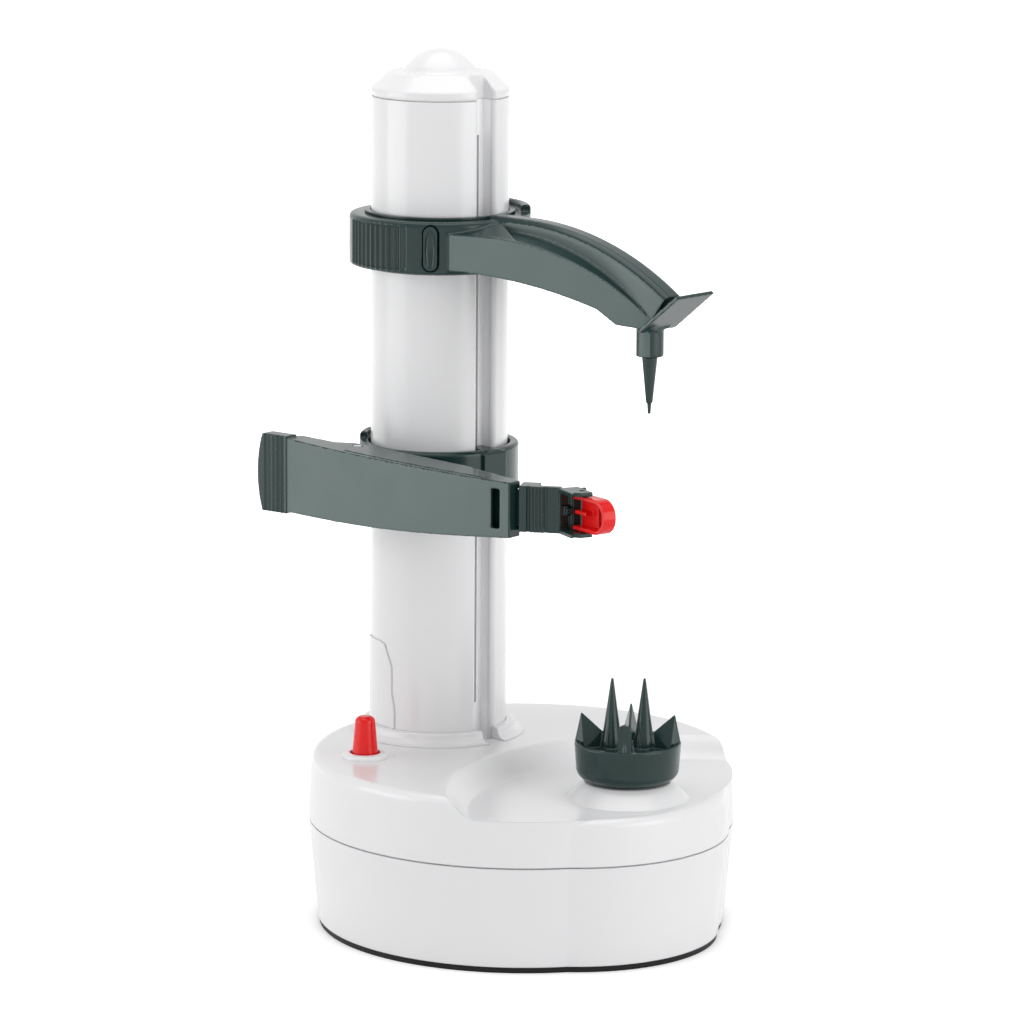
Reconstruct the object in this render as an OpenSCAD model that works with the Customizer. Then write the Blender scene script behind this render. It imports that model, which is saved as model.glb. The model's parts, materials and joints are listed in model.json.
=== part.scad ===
// Electric potato peeler. A two-lobed base holds the motor, gears and four AA cells.
// A round column carries the peeling lever on a sliding carriage and, above it, a
// holding arm with a free-turning spike over the driven food cup.
// The origin lies on the table on the column's axis, +X runs to the cup and +Z is up.

/* [Base shells] */
// Distance from the column's axis to the centre of the large lobe
lobe_a_x = 41.3; // [38:0.1:46]
// Radius of the large lobe at the seam
lobe_a_r = 71.6; // [69:0.1:76]
// Distance from the small lobe's centre to the cup's axis
lobe_b_back = 25.4; // [20:0.1:28]
// Radius of the small lobe at the seam
lobe_b_r = 52.1; // [48:0.1:54]
// How much the lower wall draws in from the seam to the table
wall_draft = 3; // [1:0.1:3]
// Wall of the two shells
shell_wall = 2.4; // [1.8:0.1:2.8]
// Height of the seam between the shells
seam_z = 35.7; // [34:0.1:38]
// Visible gap at the seam
seam_gap = 0.4; // [0.2:0.1:0.8]
// Height of the deck round the cup
low_deck_z = 51.5; // [49:0.1:53]
// Height of the deck round the column
high_deck_z = 58.5; // [57:0.1:61]
// Rounding of the deck rims
rim_round = 3; // [1.5:0.1:4]
// Distance from the cup's axis to the centre of the deck's step
step_ahead = 28; // [24:0.5:32]
// Radius of the step at its foot
step_foot_r = 71; // [68:0.5:74]
// Width of the step's slope seen from above
step_run = 10; // [6:0.5:12]
// Foot radius of the cone under the cup
cone_foot_r = 20.4; // [19.5:0.1:22]
// Top radius of the cone under the cup
cone_top_r = 15; // [13:0.1:16]
// Height of the cone's top
cone_top_z = 57; // [55.5:0.1:57.3]
// Height of the flared plinth at the column's foot above the deck
plinth_h = 4; // [2:0.1:6]
// Top radius of the plinth
plinth_r = 26; // [25:0.1:28]
// Width of the plinth's flare
plinth_flare = 3.6; // [3:0.1:7]

/* [Base plate and battery bay] */
// Distance from the outer wall to the base screws
base_screw_inset = 9.6; // [8.5:0.1:12]
// Distance from the column's axis to the middle of the battery bay
bay_x = 41.3; // [39:0.1:43]
// Thickness of the black base plate
plate_t = 2; // [1.6:0.1:3]
// Diameter of one AA cell
cell_d = 14.5; // [13.8:0.1:14.6]
// Length of one AA cell
cell_l = 50.5; // [49:0.1:50.6]
// Spacing of the cells
cell_pitch = 14.8; // [14.7:0.05:15.2]
// Number of cells
cell_count = 4; // [2:1:4]
// Room for the contacts at each end of the cells
contact_room = 3; // [2.5:0.1:4]
// Wall of the battery tray
tray_wall = 1.5; // [1:0.1:2]
// Offset of the bay from the centre line
bay_y = 26.4; // [25:0.1:27]

/* [Gear train] */
// Tooth size of the main train
gear_module = 1; // [1:0.1:1]
// Teeth of the lead screw's gear
screw_teeth = 41; // [39:2:41]
// Teeth of the idler's upper wheel
idler_teeth = 50; // [48:2:50]
// Teeth of the food spindle's gear
spindle_teeth = 42; // [40:2:42]
// Tooth size of the motor stage
motor_module = 0.8; // [0.7:0.1:0.8]
// Teeth of the idler's lower wheel
wheel_teeth = 60; // [56:4:60]
// Teeth of the motor pinion
pinion_teeth = 10; // [10:2:14]
// Height of the gear plate's underside
chassis_z = 30; // [28.5:0.1:30.5]
// Thickness of the gear plate
chassis_t = 2.5; // [2:0.1:3]
// Width of the gear plate
chassis_w = 66; // [64:0.5:70]
// How far the gear plate runs behind the column's axis
chassis_back = 14; // [12:0.5:16]
// How far the gear plate runs past the cup's axis
chassis_ahead = 8.5; // [7:0.5:12]
// Thickness of the motor stage's wheels
wheel_t = 4; // [3:0.1:4.5]
// Thickness of the main gears
gear_t = 5; // [4:0.1:5.5]
// Axial gap between stacked gears
gear_gap = 1; // [0.6:0.1:1.2]
// Radius of the food spindle
spindle_r = 3; // [2.5:0.1:3.5]
// Radius of the idler's axle
axle_r = 2; // [1.5:0.1:2.5]
// Radius of the motor's can
motor_r = 10; // [9:0.1:11]
// Width of the motor across its flats
motor_flat = 15.4; // [14:0.1:17]
// Radius of the motor's shaft
motor_shaft_r = 1; // [0.8:0.1:1.3]

/* [Food cup] */
// Outer radius of the cup
cup_r = 17.6; // [16.5:0.1:18.5]
// Height of the cup's rim
cup_rim_z = 70.2; // [69:0.1:73]
// Gap between the cup and its cone
cup_gap = 0.6; // [0.4:0.1:1]
// Depth of the dish inside the rim
cup_dish = 2; // [1:0.1:3]
// Number of short fins
fin_count = 4; // [3:1:6]
// Height of the fins above the rim
fin_h = 9.3; // [6:0.1:11]
// Direction of the first fin
fin_dir = 41; // [20:1:60]
// Height of the tall spikes above the rim
spike_h = 21.3; // [16:0.1:24]
// Distance of the tall spikes from the axis
spike_off = 5.3; // [4.5:0.1:6.5]
// Foot radius of the tall spikes
spike_r = 3.6; // [2.5:0.1:3.8]
// Direction of the line through the two tall spikes
spike_dir = 46; // [30:1:60]

/* [Column] */
// Outer radius of the column
col_r = 23.2; // [22.8:0.1:23.6]
// Wall of the column
col_wall = 2.2; // [1.8:0.1:2.6]
// Height of the seam below the cap
cap_seam_z = 276; // [272:0.5:285]
// Width of the guide groove that faces the cup
groove_w = 7; // [6:0.1:8]
// Depth of the guide groove
groove_d = 6; // [5:0.1:7]
// Rounding of the groove's mouth
groove_round = 1.8; // [0.8:0.1:1.9]
// Width of the slot in the groove's floor
slot_w = 3; // [2.6:0.1:3.6]
// Height of the cap's chamfer
cap_chamfer = 5.4; // [4:0.1:6]
// Height of the cap's straight rim
cap_rim_h = 2.8; // [2:0.1:4]
// Radius of the dome's foot
dome_foot_r = 12.4; // [10:0.1:14]
// Height of the dome
dome_h = 7.6; // [6:0.1:9]
// Height of the end-stop cover on the column's left side
panel_h = 29.5; // [26:0.5:34]

/* [Lead screw] */
// Crest radius of the thread
thread_crest_r = 4.5; // [4.2:0.1:4.8]
// Root radius of the thread
thread_root_r = 3.5; // [3.2:0.1:3.8]
// Lead of the thread
thread_lead = 4.5; // [4:0.25:6]
// Lower journal radius of the screw
screw_foot_r = 3; // [2.5:0.1:3.2]
// Upper journal radius of the screw
screw_tip_r = 2; // [1.6:0.1:2.3]

/* [Carriage and lever] */
// Height of the carriage's centre as it stands
lever_z = 149.3; // [146:0.1:152]
// Height of the carriage ring
carriage_h = 19.6; // [17:0.1:19.8]
// Outer radius of the carriage ring
carriage_r = 27; // [26.6:0.1:27.4]
// Distance of the lever's pin from the column's axis, along X
pin_x = -2; // [-4:0.1:0]
// Distance of the lever's pin from the column's axis, along Y
pin_y = -35.5; // [-36.5:0.1:-35]
// Radius of the lever's pin
pin_r = 1.5; // [1.2:0.1:1.8]
// Angle of the lever to the X axis
lever_angle = 7.9; // [5:0.1:10]
// Reach of the lever from the pin to the blade end
lever_reach = 71.9; // [68:0.1:75]
// Distance from the pin to the inner edge of the thumb pad
pad_start = 24; // [22:0.1:26]
// Length of the thumb pad
pad_l = 10; // [8:0.1:12]
// Height of the thumb pad
pad_h = 26.6; // [24:0.1:28]
// Height of the lever at the pad
lever_h0 = 25.2; // [24.6:0.1:26]
// Height of the lever at the blade end
lever_h1 = 17.4; // [17:0.1:19]
// Distance from the pin to the lever's front face
face_off = 9.1; // [8.4:0.1:10]
// Wall of the lever
lever_wall = 1.5; // [1.2:0.1:1.6]
// Bow of the lever's front face
face_bow = 3; // [1:0.1:4]
// How far the lever's edges sag between its ends
lever_sag = 0.9; // [0:0.1:1.4]
// How much the lower edge drops on towards the tip
lever_drop = 0.9; // [0:0.1:1]

/* [Blade] */
// Angle of the blade holder to the lever
holder_angle = 27; // [20:0.5:32]
// Length of the holder's grip
holder_l = 14.5; // [13:0.1:16]
// Height of the holder's grip
holder_h = 15.2; // [14:0.1:16]
// Thickness of the holder's grip
holder_t = 5.2; // [4.6:0.1:6]
// Turn of the yoke away from the grip's direction
yoke_turn = 54; // [44:0.5:58]
// Turn of the blade head from the yoke as it stands
head_turn = 10; // [6:0.5:12]
// Length of the yoke's arms
yoke_l = 10.5; // [9.5:0.1:12]
// Height of the yoke
yoke_h = 14.8; // [14.4:0.1:15.6]
// Thickness of the yoke's arms
yoke_t = 1.4; // [1.2:0.1:1.5]
// Distance of the blade head's pivot from the yoke's root
head_pivot = 6.5; // [6:0.1:7]
// Height of the blade head
head_h = 11.4; // [10.6:0.1:11.4]
// Length of the blade head
head_l = 17.3; // [15:0.1:18]
// Thickness of the blade head
head_t = 4.8; // [4.2:0.1:5.4]
// Wall of the blade head
head_wall = 1.2; // [0.9:0.1:1.5]

/* [Holding arm] */
// Angle by which the arm stands swung past the cup
arm_swing = 5.4; // [0:0.1:10]
// Height of the arm ring's underside
arm_ring_z = 219.6; // [217:0.1:222]
// Height of the arm ring
arm_ring_h = 17.3; // [16:0.1:19]
// Wall of the arm ring outside its bush
arm_ring_wall = 5.84; // [5:0.02:7]
// Distance from the column's axis to the first rib under the arm
arm_rib_x = 44; // [42:0.5:48]
// Distance between the two ribs under the arm
arm_rib_gap = 16; // [12:0.5:20]
// Wall of the bush inside the arm ring
arm_bush_t = 1.1; // [0.8:0.1:1.4]
// Half width of the arm at the ring
arm_half_w0 = 23.3; // [22:0.1:24]
// Half width of the arm at the tip
arm_half_w1 = 4.6; // [4.4:0.1:6]
// Height of the side walls' top edge above the ring's underside
arm_side_h = 13.6; // [12:0.1:15]
// Height of the ridge above the ring's underside
arm_ridge_h = 18.5; // [17:0.1:20]
// Radius of the ridge's arch
ridge_arch_r = 111; // [105:1:120]
// Radius of the side walls' arch
side_arch_r = 92; // [88:1:100]
// Half width of the ridge
ridge_half_w = 4.6; // [4:0.1:5.2]
// Where the sloping facet beside the ridge ends
gusset_x = 48; // [40:0.5:56]
// Length of the thumb tab at the tip
tab_l = 20.5; // [16:0.1:24]
// Width of the thumb tab
tab_w = 19; // [16:0.1:22]
// Slope of the thumb tab
tab_slope = 39; // [30:1:45]
// Radius of the boss that holds the spike
boss_r = 4.55; // [4.2:0.1:5]
// Height of the boss's underside
boss_z = 197.6; // [195:0.1:199]
// Length of the spike below the boss
top_spike_l = 19.2; // [15:0.1:22]
// Radius of the spike's shaft in the boss
top_shaft_r = 2; // [1.6:0.1:2.3]
// Height of the raised rim at the back of both rings
rim_rise = 2.5; // [1:0.1:3.5]
// Number of grip ribs on the ring
rib_count = 11; // [8:1:14]

/* [Buttons and inlet] */
// Distance of the power button from the column's axis, along X
button_x = 13.5; // [11:0.5:16]
// Distance of the power button from the column's axis, along Y
button_y = -46; // [-48:0.5:-44]
// Foot radius of the power button
button_r = 4.3; // [4:0.1:4.6]
// Height of the power button above its bezel
button_h = 12.4; // [10:0.1:14]
// Travel of the power button
button_travel = 2.5; // [1.5:0.1:3]
// Radius of the hole round the power button
button_hole_r = 5.2; // [4.9:0.1:5.5]
// Travel of the arm's lock button
lock_travel = 1.2; // [0.8:0.1:1.2]
// Height of the arm's lock button
lock_h = 14.8; // [13:0.1:15]
// Width of the arm's lock button
lock_w = 4.6; // [4.2:0.1:5.4]
// Height of the power inlet
inlet_z = 18; // [14:0.5:22]
// Radius of the inlet's socket
inlet_bore_r = 2.75; // [2.5:0.05:3]

/* [Clearances] */
// Radial clearance of shafts in their bushes
run_fit = 0.06; // [0.03:0.01:0.1]
// Gap between pieces that slide or pass each other
slide_gap = 0.3; // [0.25:0.05:0.4]
// Gap between the carriage ring and the column
ring_gap = 0.8; // [0.7:0.05:1]

/* [Hidden] */
$fn = 72;
tiny = 0.01;
through = 400;

spindle_x = gear_module * (screw_teeth + 2 * idler_teeth + spindle_teeth) / 2;
idler_x = gear_module * (screw_teeth + idler_teeth) / 2;
motor_y = -motor_module * (wheel_teeth + pinion_teeth) / 2;
lobe_b_x = spindle_x - lobe_b_back;
cover_lean = 0.7;
step_x = spindle_x + step_ahead;
step_top_r = step_foot_r + step_run;

wheel_z = chassis_z + chassis_t + gear_gap;
gear_z = wheel_z + wheel_t + gear_gap;
gear_top_z = gear_z + gear_t;

foot_z = high_deck_z + plinth_h;
plinth_step = 0.2;
col_z0 = high_deck_z - shell_wall - 6;
flange_t = 2.6;
flange_r = plinth_r + 3;
deck_under_z = high_deck_z - shell_wall;
groove_floor_x = col_r - groove_d;
groove_back_x = groove_floor_x - col_wall;
groove_run_out = 0.12;
cap_flat_z = cap_seam_z + cap_rim_h + cap_chamfer;
cap_top_r = col_r - cap_chamfer;
cap_spigot_h = 6;
top_z = cap_flat_z + dome_h;
dome_r = (pow(dome_foot_r, 2) + pow(dome_h, 2)) / (2 * dome_h);

bush_wall = 2;
screw_z0 = chassis_z - 4;
thread_z0 = foot_z + 4;
thread_z1 = cap_seam_z - 12;
screw_z1 = cap_seam_z - 2;

carriage_z0 = lever_z - carriage_h / 2;
carriage_bore_r = col_r + ring_gap;
nut_flat_x = thread_crest_r + slide_gap + 3.2;
lug_r = 4.2;
lug_z0 = lever_z - 7.6;
lug_z1 = lever_z + 0.5;
wire_d = 0.7;

bay_l = cell_l + 2 * contact_room;
bay_w = cell_pitch * cell_count;
cell_z = plate_t + 1.2 + cell_d / 2;
tray_top_z = cell_z + cell_d / 2 + 0.8;

arm_top_z = arm_ring_z + arm_ring_h;
bush_in_r = col_r + slide_gap;
bush_out_r = bush_in_r + arm_bush_t;
arm_bore_r = bush_out_r + run_fit;
arm_ring_r = arm_bore_r + arm_ring_wall;
bush_lip = 0.6;
arch_x = 38;
side_arch_x = 35;
arm_side_z = arm_ring_z + arm_side_h;
arm_ridge_z = arm_ring_z + arm_ridge_h;
arm_end_x = spindle_x + 5;
tab_x = spindle_x + 3;
tab_z = boss_z + 8.6;
tab_t = 1.3;
lock_dir = -54.4;
lock_z = arm_ring_z + arm_ring_h / 2;
lock_floor_r = arm_bore_r + 1;
lock_in_r = lock_floor_r + lock_travel + slide_gap;
lock_out_r = arm_ring_r + 0.7;

bezel_h = 1.6;
bezel_z = high_deck_z + bezel_h;
bezel_r = 7.8;
button_flange_r = 6;
button_flange_z = deck_under_z - 0.3;
button_guide_r = button_flange_r + slide_gap;
switch_top_z = high_deck_z - 12.5;
switch_h = 9;
switch_w = 13;

white = [0.9, 0.9, 0.91];
green = [0.2, 0.26, 0.25];
black = [0.06, 0.06, 0.06];
red = [0.86, 0.05, 0.04];
steel = [0.72, 0.73, 0.75];
brass = [0.78, 0.63, 0.32];
nylon = [0.88, 0.87, 0.8];

base_screw_spots = concat(
    [for (a = [157, 203, 254, 291, 90]) [lobe_a_x, 0] + (lobe_a_r - base_screw_inset) * [cos(a), sin(a)]],
    [for (a = [-31, 31]) [lobe_b_x, 0] + (lobe_b_r - base_screw_inset) * [cos(a), sin(a)]]);
chassis_screw_spots = [for (x = [21, 68]) for (s = [1, -1]) [x, s * (chassis_w / 2 - 5)]];
column_screw_angles = [60, 130, 230, 300];
flange_gap = 0.7;
flange_trim_r = lobe_a_r - cover_lean - shell_wall - rim_round - flange_gap;

// Points of an arc from angle a0 to angle a1
function arc(cx, cy, r, a0, a1, n) =
    [for (i = [0:n]) let (a = a0 + (a1 - a0) * i / n) [cx + r * cos(a), cy + r * sin(a)]];

// Outline of a spur gear with flat flanks; backlash is taken off each tooth
function gear_points(m, teeth, phase, backlash = 0.12) =
    let (rp = m * teeth / 2, pitch = 360 / teeth,
        half = pitch / 4 - backlash / rp * 90 / PI,
        ra = rp + 0.92 * m, rf = rp - 1.2 * m,
        ht = half - atan(0.92 * m * tan(20) / ra), hf = half + atan(1.1 * m * tan(16) / rf))
    [for (i = [0:teeth - 1]) each let (a = phase + i * pitch)
        [[rf * cos(a - hf), rf * sin(a - hf)], [rp * cos(a - half), rp * sin(a - half)],
         [ra * cos(a - ht), ra * sin(a - ht)], [ra * cos(a + ht), ra * sin(a + ht)],
         [rp * cos(a + half), rp * sin(a + half)], [rf * cos(a + hf), rf * sin(a + hf)]]];

module spur_gear(m, teeth, phase, h, bore_r) {
    difference() {
        linear_extrude(h) polygon(gear_points(m, teeth, phase));
        translate([0, 0, -1]) cylinder(r = bore_r, h = h + 2);
    }
}

// Tube swept along points that run mostly level
module wire_sweep(path, d, sides = 6) {
    n = len(path);
    function dir(i) = let (v = path[min(i + 1, n - 1)] - path[max(i - 1, 0)]) v / norm(v);
    rings = [for (i = [0:n - 1]) let (t = dir(i), s = cross(t, [0, 0, 1]), u = s / norm(s), w = cross(u, t))
        for (k = [0:sides - 1]) let (a = 360 * k / sides)
            path[i] + d / 2 * (cos(a) * u + sin(a) * w)];
    walls = [for (i = [0:n - 2]) for (k = [0:sides - 1]) let (a = i * sides + k,
        b = i * sides + (k + 1) % sides) each [[a, b, b + sides], [a, b + sides, a + sides]]];
    ends = [[for (k = [sides - 1:-1:0]) k], [for (k = [0:sides - 1]) (n - 1) * sides + k]];
    polyhedron(rings, concat(ends, walls));
}

// Coil along Z with closed end turns
function coil_path(r, z0, h, turns, steps = 14) =
    [for (i = [0:turns * steps]) let (a = 360 * i / steps, f = i / (turns * steps))
        [r * cos(a), r * sin(a), z0 + h * f]];

// Half section of a lobe of radius r: inset d0 at its foot, d1 at its top, with a rounded rim
module lobe_section(r, z0, d0, z1, d1, round_r) {
    polygon(concat([[0, z0], [r - d0, z0]],
        round_r > 0 ? arc(r - d1 - round_r, z1 - round_r, round_r, 0, 90, 7) : [[r - d1, z1]], [[0, z1]]));
}

// Large lobe, round the column and the battery bay
module lobe_a(z0, d0, z1, d1, round_r = 0) {
    translate([lobe_a_x, 0, 0]) {
        rotate_extrude() lobe_section(lobe_a_r, z0, d0, z1, d1, round_r);
    }
}

module lobe_b(z0, d0, z1, d1, round_r = 0) {
    translate([lobe_b_x, 0, 0]) rotate_extrude() lobe_section(lobe_b_r, z0, d0, z1, d1, round_r);
}

// S-shaped slope of the deck's step, cut from above; inset keeps the wall below it
module step_cut(inset) {
    n = 10;
    rise = high_deck_z - low_deck_z;
    rotate_extrude() polygon(concat([[0, low_deck_z - inset]],
        [for (i = [0:n]) let (t = i / n) [step_foot_r + inset + step_run * t,
            low_deck_z - inset + rise * (1 - cos(180 * t)) / 2]],
        [[step_top_r + inset, high_deck_z + 20], [0, high_deck_z + 20]]));
}

// The cover's solid form without holes; an inset gives the space inside its wall
module cover_form(inset) {
    z0 = seam_z + seam_gap - (inset > 0 ? 1 : 0);
    top = cover_lean + inset;
    lobe_a(z0, inset, low_deck_z - inset, top, rim_round);
    lobe_b(z0, inset, low_deck_z - inset, top, rim_round);
    difference() {
        lobe_a(z0, inset, high_deck_z - inset, top, rim_round);
        translate([step_x, 0, 0]) step_cut(inset);
    }
}

// Two lobes with drafted walls, from the table to the seam
module lower_form(inset, z0, z1) {
    drop = inset + wall_draft * (seam_z - z0) / (seam_z - plate_t);
    rise = inset + wall_draft * (seam_z - z1) / (seam_z - plate_t);
    lobe_a(z0, drop, z1, rise);
    lobe_b(z0, drop, z1, rise);
}

// Band round both lobes with upright walls, for the tongue and its rabbet
module seam_band(z0, z1, inset) {
    lobe_a(z0, inset, z1, inset);
    lobe_b(z0, inset, z1, inset);
}

module base_plate() {
    color(black) difference() {
        lower_form(0.3, 0, plate_t);
        translate([bay_x - bay_l / 2, bay_y - bay_w / 2, -1]) cube([bay_l, bay_w, plate_t + 2]);
        for (p = base_screw_spots) translate([p[0], p[1], -1]) {
            cylinder(r = 1.7, h = plate_t + 2);
            cylinder(r = 3, h = 2.1);
        }
    }
}

module battery_door() {
    g = slide_gap;
    color(black) difference() {
        union() {
            translate([bay_x - bay_l / 2 + g, bay_y - bay_w / 2 + g, 0.3])
                cube([bay_l - 2 * g, bay_w - 2 * g, plate_t - 0.3]);
            for (s = [-1, 1])
                translate([bay_x - bay_l / 2 + 4, bay_y + s * bay_w / 4 - 5, plate_t - tiny])
                    cube([8, 10, 0.9]);
        }
        translate([bay_x + bay_l / 2 - 7, bay_y - 8, -1]) cube([4, 16, 2]);
    }
}

module battery_tray() {
    inner_z = tray_top_z - tray_wall;
    color(black) difference() {
        translate([bay_x - bay_l / 2 - tray_wall, bay_y - bay_w / 2 - tray_wall, plate_t])
            cube([bay_l + 2 * tray_wall, bay_w + 2 * tray_wall, tray_top_z + tray_wall - plate_t]);
        translate([bay_x - bay_l / 2, bay_y - bay_w / 2, plate_t - 1])
            cube([bay_l, bay_w, tray_top_z - plate_t + 1]);
    }
}

module battery_cells() {
    color(steel) for (i = [0:cell_count - 1])
        translate([bay_x, bay_y + (i - (cell_count - 1) / 2) * cell_pitch, cell_z])
            rotate([0, i % 2 == 0 ? 90 : -90, 0]) {
                translate([0, 0, -cell_l / 2]) cylinder(d = cell_d, h = cell_l - 1);
                translate([0, 0, cell_l / 2 - 1]) cylinder(d = 5.5, h = 1);
            }
}

module battery_contacts() {
    strip_t = 0.4;
    color(brass) for (i = [0:cell_count - 1]) for (s = [-1, 1])
        translate([bay_x + s * (bay_l / 2 - strip_t / 2), bay_y + (i - (cell_count - 1) / 2) * cell_pitch,
            cell_z]) {
            cube([strip_t, 10, 11], center = true);
            rotate([0, -s * 90, 0]) cylinder(r1 = 4, r2 = 2.4, h = contact_room - strip_t / 2 - 0.05);
        }
}

module base_lower_shell() {
    tongue_h = 2;
    color(white) difference() {
        union() {
            difference() {
                lower_form(0, plate_t, seam_z);
                lower_form(shell_wall, plate_t - 1, seam_z + 1);
            }
            difference() {
                seam_band(seam_z - 1, seam_z + tongue_h, 1.3);
                seam_band(seam_z - 2, seam_z + tongue_h + 1, shell_wall - 0.25);
            }
            intersection() {
                lower_form(shell_wall / 2, plate_t, 16);
                for (p = base_screw_spots) screw_post(p);
            }
        }
        for (p = base_screw_spots) translate([p[0], p[1], 0]) cylinder(r = 1.25, h = 14);
        translate([lobe_a_x - lobe_a_r - 5, 0, inlet_z]) rotate([0, 90, 0])
            cylinder(r = inlet_bore_r + 1.4, h = 20);
    }
}

// Screw post with a rib out to the wall of the nearer lobe
module screw_post(p) {
    cx = p[0] > 80 ? lobe_b_x : lobe_a_x;
    a = atan2(p[1], p[0] - cx);
    translate([p[0], p[1], plate_t]) {
        cylinder(r = 3.2, h = 14);
        rotate([0, 0, a]) translate([0, -1, 0]) cube([base_screw_inset + 4, 2, 12]);
    }
}

// Flared foot under the column, kept inside the deck's rounded rim
module plinth() {
    rise = plinth_h - 0.8 - plinth_step;
    intersection() {
        rotate_extrude() polygon(concat([[0, high_deck_z - 2], [plinth_r + plinth_flare, high_deck_z - 2]],
            [for (i = [0:8]) let (a = 90 * i / 8)
                [plinth_r + plinth_flare * (1 - sin(a)), high_deck_z + plinth_step + rise * (1 - cos(a))]],
            arc(plinth_r - 0.8, foot_z - 0.8, 0.8, 0, 90, 4), [[0, foot_z]]));
        translate([lobe_a_x, 0, high_deck_z - 3])
            cylinder(r = lobe_a_r - cover_lean - 0.5, h = plinth_h + 10);
    }
}

module base_top_cover() {
    color(white) difference() {
        union() {
            difference() {
                union() {
                    cover_form(0);
                    plinth();
                    translate([spindle_x, 0, 0]) rotate_extrude() polygon(concat(
                        [[0, low_deck_z - 1], [cone_foot_r, low_deck_z - 1], [cone_foot_r, low_deck_z]],
                        arc(cone_top_r - 1, cone_top_z - 1, 1, 40, 90, 4), [[0, cone_top_z]]));
                    translate([button_x, button_y, 0]) rotate_extrude() polygon(concat(
                        [[0, high_deck_z - 1], [bezel_r, high_deck_z - 1]],
                        arc(bezel_r - 1.2, bezel_z - 1.2, 1.2, 0, 90, 5), [[0, bezel_z]]));
                }
                cover_form(shell_wall);
            }
            for (p = chassis_screw_spots) translate([p[0], p[1], chassis_z + chassis_t])
                cylinder(r = 3.4, h = (p[0] < 40 ? high_deck_z : low_deck_z) - shell_wall / 2 - chassis_z - chassis_t);
            translate([spindle_x, 0, low_deck_z - shell_wall - 4]) cylinder(r = spindle_r + bush_wall + 2.4, h = 5);
            translate([button_x, button_y, switch_top_z])
                cylinder(r = button_guide_r + 1.6, h = deck_under_z - switch_top_z + 1);
        }
        // rabbet over the lower shell's tongue
        difference() {
            seam_band(seam_z - 1, seam_z + 2, 1.2);
            seam_band(seam_z - 2, seam_z + 3, shell_wall + 0.4);
        }
        translate([0, 0, high_deck_z - 20]) cylinder(r = col_r + 0.1, h = 40);
        translate([col_r - 3, -groove_w / 2, high_deck_z]) cube([20, groove_w, 20]);
        translate([spindle_x, 0, 20]) cylinder(r = spindle_r + bush_wall, h = 60);
        translate([button_x, button_y, 20]) cylinder(r = button_hole_r, h = 60);
        translate([button_x, button_y, 20]) cylinder(r = button_guide_r, h = deck_under_z - 20);
        for (p = chassis_screw_spots) translate([p[0], p[1], chassis_z]) cylinder(r = 1.25, h = 14);
        for (a = column_screw_angles) rotate([0, 0, a]) translate([col_r + 2.3, 0, deck_under_z - 1])
            cylinder(r = 1, h = 5);
    }
}

module pan_screw(r, length, head_r, head_h) {
    cylinder(r = head_r, h = head_h);
    translate([0, 0, head_h - tiny]) cylinder(r = r, h = length);
}

module base_screws() {
    color(steel) for (p = base_screw_spots) translate([p[0], p[1], 0.3]) difference() {
        pan_screw(1.25, 10, 2.7, 0.8);
        translate([-1.8, -0.3, -1]) cube([3.6, 0.6, 1.4]);
        translate([-0.3, -1.8, -1]) cube([0.6, 3.6, 1.4]);
    }
}

module gear_plate() {
    color(nylon) difference() {
        union() {
            translate([-chassis_back, -chassis_w / 2, chassis_z])
                cube([chassis_back + spindle_x + chassis_ahead, chassis_w, chassis_t]);
            for (x = [0, spindle_x]) translate([x, 0, chassis_z - 2]) cylinder(r = screw_foot_r + bush_wall + 2, h = 3);
            translate([idler_x, 0, chassis_z - 4]) cylinder(r = axle_r + 2, h = 5);
        }
        translate([0, 0, chassis_z - 10]) cylinder(r = screw_foot_r + bush_wall, h = 30);
        translate([spindle_x, 0, chassis_z - 10]) cylinder(r = spindle_r + run_fit, h = 30);
        translate([idler_x, 0, chassis_z - 10]) cylinder(r = axle_r, h = 30);
        translate([idler_x, motor_y, chassis_z - 10]) cylinder(r = 3.2, h = 30);
        for (p = chassis_screw_spots) translate([p[0], p[1], chassis_z - 10]) cylinder(r = 1.6, h = 30);
    }
}

module gear_plate_screws() {
    color(steel) for (p = chassis_screw_spots) translate([p[0], p[1], chassis_z - 1.6])
        pan_screw(1.25, 12, 2.8, 1.6);
}

module motor() {
    can_z0 = plate_t + 2;
    color(steel) translate([idler_x, motor_y, 0]) {
        intersection() {
            translate([0, 0, can_z0]) cylinder(r = motor_r, h = chassis_z - can_z0);
            translate([-motor_r, -motor_flat / 2, can_z0]) cube([2 * motor_r, motor_flat, through]);
        }
        translate([0, 0, chassis_z - tiny]) difference() {
            cylinder(r = 3, h = 1.2);
            translate([0, 0, -1]) cylinder(r = motor_shaft_r + run_fit, h = 4);
        }
        translate([0, 0, can_z0 - 1.2]) cylinder(r = 3, h = 1.2 + tiny);
    }
}

module motor_pinion() {
    color(brass) translate([idler_x, motor_y, 0]) {
        translate([0, 0, wheel_z]) linear_extrude(wheel_t) polygon(gear_points(motor_module, pinion_teeth, 0));
        translate([0, 0, chassis_z + 0.3]) cylinder(r = motor_shaft_r, h = wheel_z - chassis_z);
    }
}

module compound_idler() {
    bore = axle_r + run_fit;
    color(nylon) translate([idler_x, 0, 0]) {
        difference() {
            union() {
                translate([0, 0, wheel_z]) linear_extrude(wheel_t) polygon(gear_points(motor_module, wheel_teeth, 0));
                translate([0, 0, gear_z]) linear_extrude(gear_t) polygon(gear_points(gear_module, idler_teeth, 180 / idler_teeth));
                translate([0, 0, wheel_z + 1]) cylinder(r = 8, h = gear_z - wheel_z);
                translate([0, 0, chassis_z + chassis_t + slide_gap]) cylinder(r = 4, h = gear_gap);
            }
            translate([0, 0, wheel_z - 2]) cylinder(r = bore, h = 30);
        }
    }
}

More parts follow.
